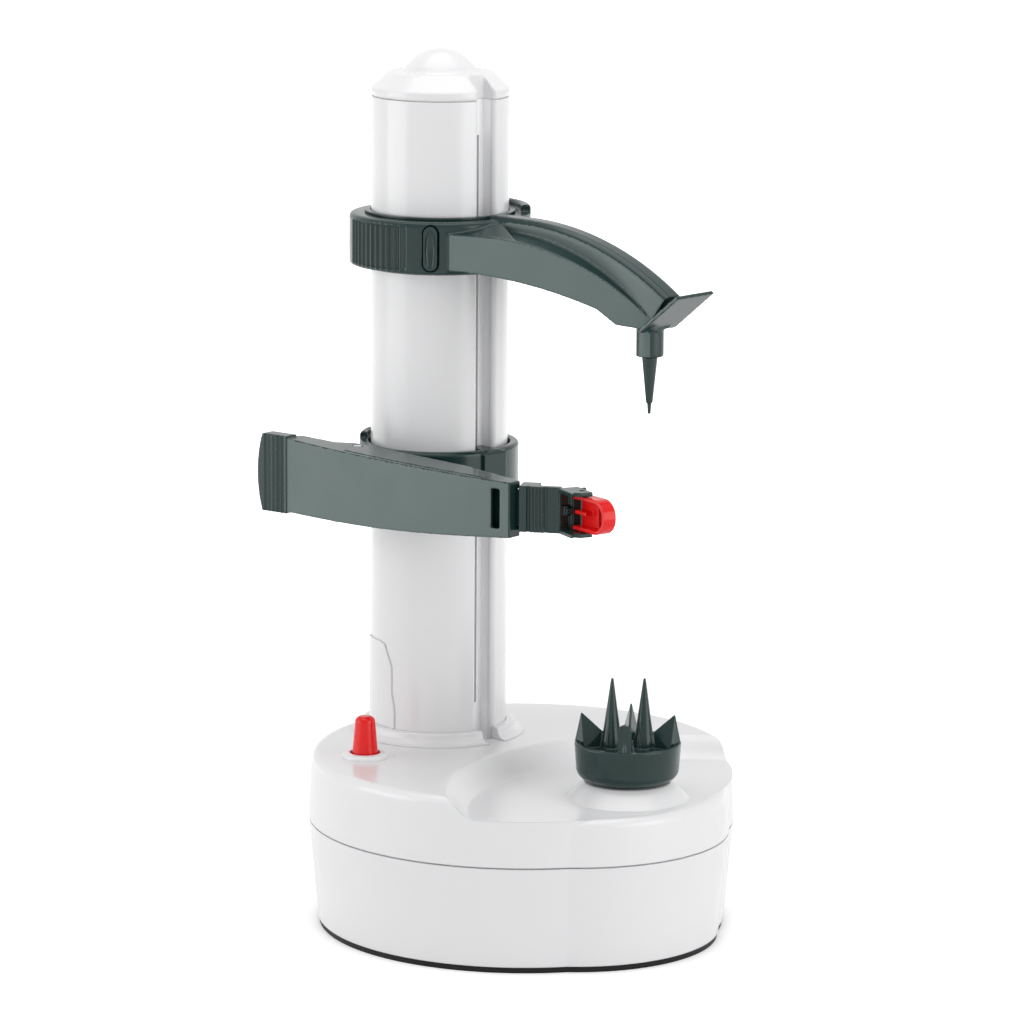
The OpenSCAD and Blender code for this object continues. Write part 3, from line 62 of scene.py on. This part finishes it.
def noise(t, scale, detail=3.0, rough=0.5, stretch=(1, 1, 1)):
    co = t.nodes.new("ShaderNodeTexCoord")
    mp = t.nodes.new("ShaderNodeMapping")
    mp.inputs["Scale"].default_value = stretch
    n = t.nodes.new("ShaderNodeTexNoise")
    n.inputs["Scale"].default_value = scale
    n.inputs["Detail"].default_value = detail
    n.inputs["Roughness"].default_value = rough
    t.links.new(co.outputs["Object"], mp.inputs[0])
    t.links.new(mp.outputs[0], n.inputs["Vector"])
    return n


def ramp(t, source, low, high):
    r = t.nodes.new("ShaderNodeMapRange")
    r.inputs["From Min"].default_value = 0.3
    r.inputs["From Max"].default_value = 0.7
    r.inputs["To Min"].default_value = low
    r.inputs["To Max"].default_value = high
    t.links.new(source, r.inputs["Value"])
    return r.outputs[0]


# Depth of the plastic's grain and of the metal's marks, in metres
GRAIN_DEPTH, MARK_DEPTH = 0.0002, 0.0001
DRIFT_SCALE, ROUGH_SCALE = 22.0, 60.0


def plastic(name, colour, vary, rough, bump, coat=0.0, grain=900.0, specular=0.5, edge=0.0):
    """Moulded plastic: a faint colour drift, roughness that varies, a fine grain, and softened edges."""
    m, t, p = new_material(name)
    mix = t.nodes.new("ShaderNodeMix")
    mix.data_type = "RGBA"
    mix.inputs["A"].default_value = (*[c * (1 - vary) for c in colour], 1)
    mix.inputs["B"].default_value = (*[min(1, c * (1 + vary)) for c in colour], 1)
    t.links.new(noise(t, DRIFT_SCALE, 2.0).outputs["Fac"], mix.inputs["Factor"])
    t.links.new(mix.outputs["Result"], p.inputs["Base Color"])
    t.links.new(ramp(t, noise(t, ROUGH_SCALE, 4.0).outputs["Fac"], *rough), p.inputs["Roughness"])
    b = t.nodes.new("ShaderNodeBump")
    b.inputs["Strength"].default_value = bump
    b.inputs["Distance"].default_value = GRAIN_DEPTH
    t.links.new(noise(t, grain, 2.0).outputs["Fac"], b.inputs["Height"])
    if edge:
        soft = t.nodes.new("ShaderNodeBevel")
        soft.samples = 4
        soft.inputs["Radius"].default_value = edge
        t.links.new(soft.outputs[0], b.inputs["Normal"])
    t.links.new(b.outputs[0], p.inputs["Normal"])
    p.inputs["Specular IOR Level"].default_value = specular
    p.inputs["Coat Weight"].default_value = coat
    p.inputs["Coat Roughness"].default_value = 0.06
    return m


def metal(name, colour, rough=(0.2, 0.35), stretch=(1, 1, 12), scale=220.0):
    """Turned or ground metal with fine directional marks."""
    m, t, p = new_material(name)
    p.inputs["Metallic"].default_value = 1.0
    mix = t.nodes.new("ShaderNodeMix")
    mix.data_type = "RGBA"
    mix.inputs["A"].default_value = (*[c * 0.85 for c in colour], 1)
    mix.inputs["B"].default_value = (*colour, 1)
    n = noise(t, scale, 5.0, 0.6, stretch)
    t.links.new(n.outputs["Fac"], mix.inputs["Factor"])
    t.links.new(mix.outputs["Result"], p.inputs["Base Color"])
    t.links.new(ramp(t, n.outputs["Fac"], *rough), p.inputs["Roughness"])
    b = t.nodes.new("ShaderNodeBump")
    b.inputs["Strength"].default_value = 0.05
    b.inputs["Distance"].default_value = MARK_DEPTH
    t.links.new(n.outputs["Fac"], b.inputs["Height"])
    t.links.new(b.outputs[0], p.inputs["Normal"])
    return m


MATERIAL = {
    "white": plastic("white_gloss", (0.80, 0.80, 0.81), 0.006, (0.24, 0.26), 0.01, coat=0.15, edge=0.0006),
    "green": plastic("green_gloss", (0.009, 0.031, 0.028), 0.06, (0.2, 0.28), 0.02, coat=0.12, specular=0.28),
    # The satin's rougher grain is its own, but its green, about ten times lighter than the gloss green, is
    # painted light for the faces turned to the front-left lamp
    "green_satin_painted_lit": plastic("green_satin_painted_lit", (0.088, 0.128, 0.121), 0.05, (0.42, 0.52), 0.12, grain=1500.0),
    "black": plastic("black_matte", (0.006, 0.006, 0.006), 0.05, (0.45, 0.6), 0.12, grain=1600.0,
                     specular=0.25, edge=0.0003),
    "red": plastic("red_gloss", (0.78, 0.004, 0.004), 0.03, (0.16, 0.24), 0.02, specular=0.3),
    "nylon": plastic("nylon", (0.72, 0.70, 0.6), 0.03, (0.4, 0.5), 0.06),
    # A lighter white than the plastic's, for the guide channel: painted light that stands in for light
    # bounced into the column's groove
    "groove": plastic("white_painted_bounce_light", (0.93, 0.93, 0.94), 0.006, (0.3, 0.34), 0.01),
    "steel": metal("steel", (0.62, 0.63, 0.65)),
    "brass": metal("brass", (0.72, 0.52, 0.22)),
    "cell": metal("cell_sleeve", (0.16, 0.28, 0.5), (0.25, 0.35), (1, 1, 1), 90.0),
}
SLOT = {s["node"]: s["material_slot"] for s in frame["record"]["subparts"]}
SHARP_ANGLE = 32

for node_name, node in NODES.items():
    node.data.materials.clear()
    # The guide channel takes the lighter white, painted light in its groove
    node.data.materials.append(MATERIAL["groove" if node_name == "guide_channel" else SLOT[node_name]])
    node.data.shade_smooth()
    node.data.set_sharp_from_angle(angle=math.radians(SHARP_ANGLE))


# Values that the details share with the part's source. Lengths from here to the stage are in millimetres,
# and turns are in degrees.
ARM_TURN = 5.4
ARM_ROOT_X, ARM_TIP_X, ARM_ROOT_HALF, ARM_TIP_HALF = 14, 96.5, 23.3, 4.6
RING_Z, RING_H, RING_R, RIB_COUNT, RIB_GAP, RIB_START = 219.6, 17.3, 30.5, 11, 4.5, -119
LEVER_PIN, LEVER_TURN = (-2, -35.5, 149.3), 7.9
LEVER_REACH, PAD_START, FACE_OFF, FACE_BOW = 71.9, 24.0, 9.1, 3.0
HOLDER_Y, HOLDER_TURN = -4.3, 27
YOKE_X, YOKE_Y, YOKE_TURN = 16.3, -1, -54
LOCK_TURN, LOCK_OUT_R, LOCK_Z = -49.0, 31.2, 228.25
CUP_X, CUP_RIM_Z, CUP_DISH = 91.5, 70.2, 2.0
SPIKE_TURN, SPIKE_OFF, SPIKE_R, SPIKE_H = 46.0, 5.3, 3.6, 21.3
COLUMN_R, CAP_SEAM_Z = 23.2, 276.0


# Pieces: closed skins over a node's form, with added and carved detail and every edge softened

WELD = 2e-6  # metres


def mesh_object(name, mesh):
    o = bpy.data.objects.new(name, mesh)
    bpy.context.scene.collection.objects.link(o)
    return o


def welded(*nodes):
    """One mesh of the nodes' forms, with their split corners joined again."""
    bm = bmesh.new()
    for node in nodes:
        bm.from_mesh(NODES[node].data)
    bmesh.ops.remove_doubles(bm, verts=bm.verts, dist=WELD)
    bmesh.ops.recalc_face_normals(bm, faces=bm.faces)
    return bm


def frame_at(x, y, z, turn):
    """A frame at a point in millimetres, turned about Z by degrees."""
    return Matrix.Translation(Vector((x, y, z)) * MM) @ Matrix.Rotation(math.radians(turn), 4, "Z")


COLUMN = frame_at(0, 0, 0, 0)
ARM = frame_at(0, 0, 0, ARM_TURN)
LEVER = frame_at(*LEVER_PIN, LEVER_TURN)
YOKE = LEVER @ frame_at(LEVER_REACH, HOLDER_Y, 0, HOLDER_TURN) @ frame_at(YOKE_X, YOKE_Y, 0, YOKE_TURN)
CUP = frame_at(CUP_X, 0, 0, 0)


def put(bm, place, points, faces):
    made = [bm.verts.new(place @ (Vector(p) * MM)) for p in points]
    for f in faces:
        bm.faces.new([made[i] for i in f])


def two_ended(bm, place, first, last):
    """A closed solid between two outlines with the same number of points."""
    n = len(first)
    put(bm, place, first + last,
        [tuple(range(n))[::-1], tuple(range(n, 2 * n))]
        + [(i, (i + 1) % n, n + (i + 1) % n, n + i) for i in range(n)])


def prism(bm, place, outline, z0, z1):
    """A closed prism over a plan outline."""
    two_ended(bm, place, [(x, y, z0) for x, y in outline], [(x, y, z1) for x, y in outline])


def rod(bm, place, x, y, r, z0, z1, n=20):
    """A closed upright cylinder."""
    prism(bm, place, [(x + r * math.cos(2 * math.pi * i / n), y + r * math.sin(2 * math.pi * i / n))
                      for i in range(n)], z0, z1)


def lathe(bm, place, profile, n=120):
    """A closed ring turned from an outline of (radius, height)."""
    m = len(profile)
    points = [(r * math.cos(2 * math.pi * i / n), r * math.sin(2 * math.pi * i / n), z)
              for i in range(n) for r, z in profile]
    faces = [(i * m + j, ((i + 1) % n) * m + j, ((i + 1) % n) * m + (j + 1) % m, i * m + (j + 1) % m)
             for i in range(n) for j in range(m)]
    put(bm, place, points, faces)


def ball(bm, place, centre, radii, n=24):
    """A closed ellipsoid."""
    points, faces = [(centre[0], centre[1], centre[2] - radii[2])], []
    for j in range(1, n // 2):
        e = math.pi * (j / (n // 2) - 0.5)
        points += [(centre[0] + radii[0] * math.cos(e) * math.cos(2 * math.pi * i / n),
                    centre[1] + radii[1] * math.cos(e) * math.sin(2 * math.pi * i / n),
                    centre[2] + radii[2] * math.sin(e)) for i in range(n)]
    points.append((centre[0], centre[1], centre[2] + radii[2]))
    rows, last = n // 2 - 1, len(points) - 1
    for i in range(n):
        k = (i + 1) % n
        faces.append((0, 1 + k, 1 + i))
        faces.append((last, 1 + (rows - 1) * n + i, 1 + (rows - 1) * n + k))
        for j in range(rows - 1):
            faces.append((1 + j * n + i, 1 + j * n + k, 1 + (j + 1) * n + k, 1 + (j + 1) * n + i))
    put(bm, place, points, faces)


def plain_object(name, bm):
    mesh = bpy.data.meshes.new(name)
    bmesh.ops.recalc_face_normals(bm, faces=bm.faces)
    bm.to_mesh(mesh)
    bm.free()
    return mesh_object(name, mesh)


def skinned(name, bm, voxel, smooth, cutter=None):
    """Turns overlapping closed forms into one skin with rounded edges, after the cutter is carved away.

    The voxel is in millimetres, and smooth is the number of smoothing rounds.
    """
    o = plain_object(name, bm)
    raw = o.data
    cut = None
    if cutter:
        first = o.modifiers.new("join", "REMESH")
        first.mode = "VOXEL"
        first.voxel_size = voxel * MM
        cut = plain_object(name + "_cut", cutter)
        c = o.modifiers.new("carve", "BOOLEAN")
        c.operation = "DIFFERENCE"
        c.solver = "EXACT"
        c.object = cut
    r = o.modifiers.new("skin", "REMESH")
    r.mode = "VOXEL"
    r.voxel_size = voxel * MM
    m = o.modifiers.new("soften", "SMOOTH")
    m.iterations = smooth
    m.factor = 0.5
    done = bpy.data.meshes.new_from_object(o.evaluated_get(bpy.context.evaluated_depsgraph_get()))
    o.modifiers.clear()
    o.data = done
    done.name = name
    bpy.data.meshes.remove(raw)
    if cut:
        old = cut.data
        bpy.data.objects.remove(cut)
        bpy.data.meshes.remove(old)
    done.shade_smooth()
    return o


def finish_piece(o, nodes, lit_satin_faces=None):
    """The piece takes the place of its nodes, rides on their body and takes their slot's finish."""
    slot = SLOT[nodes[0]]
    o.data.materials.clear()
    o.data.materials.append(MATERIAL[slot])
    # The faces that the mask picks get the lighter satin green: painted light on the faces turned to the lamp
    if lit_satin_faces:
        o.data.materials.append(MATERIAL["green_satin_painted_lit"])
        for f in o.data.polygons:
            if lit_satin_faces(f.center, f.normal):
                f.material_index = 1
    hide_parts(*nodes)
    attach(o, BODY[nodes[0]])


def face_line(x):
    """Where the lever's bowed front face is, in the lever's own frame."""
    t = 2 * (x + PAD_START) / (LEVER_REACH + PAD_START) - 1
    return -FACE_OFF - FACE_BOW * (1 - t * t)


# Lever: slit behind the face's top edge, deeper grip grooves on the thumb pad, satin front face, whose
# lighter green is painted light
SLIT_START, SLIT_L, SLIT_STEPS, SLIT_NEAR, SLIT_FAR, SLIT_FLOOR = 2, 60, 24, 2.0, 2.75, 6.5
GRIP_COUNT, GRIP_IN, GRIP_PITCH, GRIP_R, GRIP_OUT = 5, 0.6, 1.9, 0.62, 0.75
PAST = 20  # half the height of a cut that passes the lever's top and bottom edges
# Faces turned this close to the lever's front take the satin green with painted light
LIT_SATIN_FACING = 0.9

cut = bmesh.new()
xs = [SLIT_START + SLIT_L * i / SLIT_STEPS for i in range(SLIT_STEPS + 1)]
prism(cut, LEVER, [(x, face_line(x) + SLIT_NEAR) for x in xs]
      + [(x, face_line(x) + SLIT_FAR) for x in reversed(xs)], SLIT_FLOOR, PAST)
for i in range(GRIP_COUNT):
    rod(cut, LEVER, -PAD_START - GRIP_IN - GRIP_PITCH * i, -FACE_OFF - GRIP_OUT, GRIP_R, -PAST, PAST)
lever_front = LEVER.to_3x3() @ Vector((0, -1, 0))


def on_lever_face(c, n):
    return n.dot(lever_front) > LIT_SATIN_FACING and (LEVER.inverted() @ c).x > -PAD_START * MM


finish_piece(skinned("lever_body", welded("peeling_lever"), 0.3, 3, cut), ["peeling_lever"], on_lever_face)

# Blade holder, with the web that closes the lever's window and the rear edge of its yoke
WEB_BACK, WEB_L, WEB_IN, WEB_T, WEB_Z0, WEB_Z1 = 10.5, 10, 2.7, 1.3, -7.5, 6.9
YOKE_EDGE_X, YOKE_EDGE_T, YOKE_EDGE_Y, YOKE_EDGE_L, YOKE_EDGE_Z = 0.2, 1.3, 3.8, 2.5, 7.2

holder = welded("blade_holder")
web_x, web_y = LEVER_REACH - WEB_BACK, -FACE_OFF + WEB_IN
prism(holder, LEVER, [(web_x, web_y), (web_x + WEB_L, web_y), (web_x + WEB_L, web_y + WEB_T),
                      (web_x, web_y + WEB_T)], WEB_Z0, WEB_Z1)
edge_x, edge_y = YOKE_EDGE_X + YOKE_EDGE_T, YOKE_EDGE_Y + YOKE_EDGE_L
prism(holder, YOKE, [(YOKE_EDGE_X, YOKE_EDGE_Y), (edge_x, YOKE_EDGE_Y), (edge_x, edge_y),
                     (YOKE_EDGE_X, edge_y)], -YOKE_EDGE_Z, YOKE_EDGE_Z)
finish_piece(skinned("holder_body", holder, 0.17, 3), ["blade_holder"])

# Holding arm: grip grooves round the ring, satin side walls, whose lighter green is painted light
GROOVE_R, GROOVE_OUT, GROOVE_FOOT, GROOVE_HEAD = 0.85, 0.35, 1.2, 1.6
RING_CLEAR = 0.9  # past the ring by this much, a face belongs to the arm's walls

cut = bmesh.new()
for i in range(RIB_COUNT + 1):
    a = math.radians(RIB_START + RIB_GAP * (i - 0.5))
    rod(cut, ARM, (RING_R + GROOVE_OUT) * math.cos(a), (RING_R + GROOVE_OUT) * math.sin(a), GROOVE_R,
        RING_Z + GROOVE_FOOT, RING_Z + RING_H - GROOVE_HEAD)
arm_slope = math.atan2(ARM_ROOT_HALF - ARM_TIP_HALF, ARM_TIP_X - ARM_ROOT_X)
arm_walls = [ARM.to_3x3() @ Vector((math.sin(arm_slope), s * math.cos(arm_slope), 0)) for s in (-1, 1)]


def on_arm_wall(c, n):
    past_ring = math.hypot(c.x, c.y) > (RING_R + RING_CLEAR) * MM
    return past_ring and max(n.dot(w) for w in arm_walls) > LIT_SATIN_FACING


finish_piece(skinned("arm_body", welded("holding_arm"), 0.33, 3, cut), ["holding_arm"], on_arm_wall)

# Lock button with its dished face
DISH_RADII, DISH_OUT = (1.3, 1.9, 6.7), 0.25

cut = bmesh.new()
ball(cut, frame_at(0, 0, 0, LOCK_TURN), (LOCK_OUT_R + DISH_OUT, 0, LOCK_Z), DISH_RADII)
finish_piece(skinned("lock_button_body", welded("lock_button"), 0.16, 3, cut), ["lock_button"])

# Food cup with four ribs down each tall spike and a rounded front fin
SUNK = 0.4  # how far the added forms reach into the cup's floor
RIB_TURN, RIBS_PER_SPIKE = 20, 4
RIB_FOOT_HALF, RIB_OUT_HALF, RIB_TOP_HALF = 0.55, 0.4, 0.2
RIB_OUT, RIB_TOP_DROP, RIB_TIP_OUT, RIB_TIP_DROP = 0.5, 0.9, 0.35, 2.4
FIN_TURN, FIN_ARCH_Z, FIN_IN_R, FIN_T, FIN_HALF, FIN_STEPS = -49.0, 77.0, 14.2, 2.4, 2.2, 12

cup = welded("food_cup")
foot = CUP_RIM_Z - CUP_DISH - SUNK
spike_top = CUP_RIM_Z + SPIKE_H
rib_points = [
    (0, -RIB_FOOT_HALF, foot), (SPIKE_R + RIB_OUT, -RIB_OUT_HALF, foot),
    (SPIKE_R + RIB_OUT, RIB_OUT_HALF, foot), (0, RIB_FOOT_HALF, foot),
    (0, -RIB_TOP_HALF, spike_top - RIB_TOP_DROP),
    (RIB_TIP_OUT, 0, spike_top - RIB_TIP_DROP), (0, RIB_TOP_HALF, spike_top - RIB_TOP_DROP)]
rib_faces = [(3, 2, 1, 0), (0, 1, 5, 4), (1, 2, 5), (2, 3, 6, 5), (0, 4, 6, 3), (4, 5, 6)]
spike_turn = math.radians(SPIKE_TURN)
for s in (-1, 1):
    x, y = s * SPIKE_OFF * math.cos(spike_turn), s * SPIKE_OFF * math.sin(spike_turn)
    for k in range(RIBS_PER_SPIKE):
        put(cup, CUP @ frame_at(x, y, 0, 360 / RIBS_PER_SPIKE * k + RIB_TURN), rib_points, rib_faces)
arch = [(-FIN_HALF, foot), (FIN_HALF, foot)]
for i in range(FIN_STEPS + 1):
    a = math.pi * i / FIN_STEPS
    arch.append((FIN_HALF * math.cos(a), FIN_ARCH_Z + FIN_HALF * math.sin(a)))
two_ended(cup, CUP @ frame_at(0, 0, 0, FIN_TURN), [(FIN_IN_R, y, z) for y, z in arch],
          [(FIN_IN_R + FIN_T, y, z) for y, z in arch])
finish_piece(skinned("food_cup_body", cup, 0.2, 2), ["food_cup"])

# Cap with a fine groove at its seam
SEAM_DEPTH, SEAM_PAST, SEAM_HALF, SEAM_LOW, SEAM_HIGH = 0.45, 1, 0.25, 0.7, 0.9

cut = bmesh.new()
seam_in, seam_out = COLUMN_R - SEAM_DEPTH, COLUMN_R + SEAM_PAST
lathe(cut, COLUMN, [(seam_in, CAP_SEAM_Z - SEAM_HALF), (seam_out, CAP_SEAM_Z - SEAM_LOW),
                    (seam_out, CAP_SEAM_Z + SEAM_HIGH), (seam_in, CAP_SEAM_Z + SEAM_HALF)])
finish_piece(skinned("cap_body", welded("column_cap"), 0.4, 6, cut), ["column_cap"])

# Pieces that keep their node's form, with rounded edges
for node_name, voxel, smooth in (("top_spike", 0.18, 2), ("carriage_ring", 0.35, 4), ("blade_head", 0.14, 3),
                                 ("power_button", 0.2, 4)):
    finish_piece(skinned(node_name + "_body", welded(node_name), voxel, smooth), [node_name])


# Stage, in metres: floor, world, camera and lights

# The floor reads as white where the camera or a reflection sees it, and keeps the object's shadow
FLOOR_HALF, FLOOR_NEAR, FLOOR_FAR, FLOOR_GLOW_NEAR, FLOOR_GLOW_FAR = 3.0, 0.15, 0.9, 0.3, 1.0

floor_mesh = bpy.data.meshes.new("floor")
floor = bpy.data.objects.new("floor", floor_mesh)
bpy.context.scene.collection.objects.link(floor)
bm = bmesh.new()
bm.faces.new([bm.verts.new((x * FLOOR_HALF, y * FLOOR_HALF, 0))
              for x, y in ((-1, -1), (1, -1), (1, 1), (-1, 1))])
bm.to_mesh(floor_mesh)
bm.free()
floor_material, tree, shader = new_material("floor_white")
shader.inputs["Base Color"].default_value = (0.86, 0.86, 0.86, 1)
shader.inputs["Roughness"].default_value = 0.6
shader.inputs["Specular IOR Level"].default_value = 0.2
shader.inputs["Emission Color"].default_value = (1, 1, 1, 1)
floor_path = tree.nodes.new("ShaderNodeLightPath")
floor_seen = tree.nodes.new("ShaderNodeMath")
floor_seen.operation = "MAXIMUM"
floor_place = tree.nodes.new("ShaderNodeTexCoord")
floor_far = tree.nodes.new("ShaderNodeVectorMath")
floor_far.operation = "LENGTH"
floor_reach = tree.nodes.new("ShaderNodeMapRange")
floor_reach.interpolation_type = "SMOOTHSTEP"
floor_reach.inputs["From Min"].default_value = FLOOR_NEAR
floor_reach.inputs["From Max"].default_value = FLOOR_FAR
floor_reach.inputs["To Min"].default_value = FLOOR_GLOW_NEAR
floor_reach.inputs["To Max"].default_value = FLOOR_GLOW_FAR
floor_lift = tree.nodes.new("ShaderNodeMath")
floor_lift.operation = "MULTIPLY"
tree.links.new(floor_path.outputs["Is Camera Ray"], floor_seen.inputs[0])
tree.links.new(floor_path.outputs["Is Glossy Ray"], floor_seen.inputs[1])
tree.links.new(floor_place.outputs["Object"], floor_far.inputs[0])
tree.links.new(floor_far.outputs["Value"], floor_reach.inputs["Value"])
tree.links.new(floor_seen.outputs[0], floor_lift.inputs[0])
tree.links.new(floor_reach.outputs[0], floor_lift.inputs[1])
tree.links.new(floor_lift.outputs[0], shader.inputs["Emission Strength"])
floor_mesh.materials.append(floor_material)

# The world lights the object softly, and is white to the camera, in gloss and through glass
WORLD_STRENGTH = 0.42

world = bpy.data.worlds.new("studio")
bpy.context.scene.world = world
world.use_nodes = True
wt = world.node_tree
wt.nodes.clear()
w_out = wt.nodes.new("ShaderNodeOutputWorld")
w_light = wt.nodes.new("ShaderNodeBackground")
w_light.inputs["Color"].default_value = (1, 1, 1, 1)
w_light.inputs["Strength"].default_value = WORLD_STRENGTH
w_seen = wt.nodes.new("ShaderNodeBackground")
w_seen.inputs["Color"].default_value = (1, 1, 1, 1)
w_seen.inputs["Strength"].default_value = 1.0
path = wt.nodes.new("ShaderNodeLightPath")
either = wt.nodes.new("ShaderNodeMath")
either.operation = "MAXIMUM"
any_of = wt.nodes.new("ShaderNodeMath")
any_of.operation = "MAXIMUM"
wt.links.new(path.outputs["Is Camera Ray"], either.inputs[0])
wt.links.new(path.outputs["Is Transmission Ray"], either.inputs[1])
wt.links.new(either.outputs[0], any_of.inputs[0])
wt.links.new(path.outputs["Is Glossy Ray"], any_of.inputs[1])
w_mix = wt.nodes.new("ShaderNodeMixShader")
wt.links.new(any_of.outputs[0], w_mix.inputs[0])
wt.links.new(w_light.outputs[0], w_mix.inputs[1])
wt.links.new(w_seen.outputs[0], w_mix.inputs[2])
wt.links.new(w_mix.outputs[0], w_out.inputs[0])


def area(name, place, aim, size, watts):
    """A rectangular lamp that faces the aim."""
    lamp = bpy.data.lights.new(name, "AREA")
    lamp.shape = "RECTANGLE"
    lamp.size, lamp.size_y = size
    lamp.energy = watts
    o = bpy.data.objects.new(name, lamp)
    bpy.context.scene.collection.objects.link(o)
    o.location = place
    o.rotation_euler = (aim - place).to_track_quat("-Z", "Y").to_euler()


# The camera that was fitted to the photo: its place in metres, its heading as a plan direction, and its
# pitch and roll in radians
CAMERA_PLACE, CAMERA_LENS, SENSOR = Vector((1.1961, -1.1165, 0.4481)), 172.25, 36
HEAD_X, HEAD_Y, PITCH, ROLL = -0.7206, 0.6934, 0.1896, 0.0065

ahead = Vector((HEAD_X * math.cos(PITCH), HEAD_Y * math.cos(PITCH), -math.sin(PITCH))).normalized()
right = Vector((HEAD_Y, -HEAD_X, 0)).normalized()
up = right.cross(ahead).normalized()
right_r = right * math.cos(ROLL) + up * math.sin(ROLL)
up_r = up * math.cos(ROLL) - right * math.sin(ROLL)
camera_data = bpy.data.cameras.new("camera")
camera_data.lens = CAMERA_LENS
camera_data.sensor_width = SENSOR
camera_data.sensor_fit = "HORIZONTAL"
camera_data.clip_start, camera_data.clip_end = 0.05, 20
camera = bpy.data.objects.new("camera", camera_data)
bpy.context.scene.collection.objects.link(camera)
camera.matrix_world = Matrix((
    (right_r.x, up_r.x, -ahead.x, CAMERA_PLACE.x),
    (right_r.y, up_r.y, -ahead.y, CAMERA_PLACE.y),
    (right_r.z, up_r.z, -ahead.z, CAMERA_PLACE.z),
    (0, 0, 0, 1)))
bpy.context.scene.camera = camera

CENTRE = Vector((0.04, -0.02, 0.15))
BOX_DISTANCE, BOX_HEIGHT, BOX_SIZE = 1.4, 0.45, (1.0, 0.9)
TOP_ABOVE, TOP_SIZE, TOP_WATTS = 1.2, (1.2, 1.2), 9


def softbox(name, azimuth, radiance):
    """An upright lamp beside the object, with a stated radiance."""
    a = math.radians(azimuth)
    place = CENTRE + Vector((math.cos(a) * BOX_DISTANCE, math.sin(a) * BOX_DISTANCE, BOX_HEIGHT - CENTRE.z))
    area(name, place, Vector((CENTRE.x, CENTRE.y, BOX_HEIGHT)), BOX_SIZE,
         radiance * math.pi * BOX_SIZE[0] * BOX_SIZE[1])


softbox("left_box", -122, 2.6)
softbox("right_box", 12, 2.8)
area("top", CENTRE + Vector((0, 0, TOP_ABOVE)), CENTRE, TOP_SIZE, TOP_WATTS)

bpy.context.scene.view_settings.view_transform = "Standard"
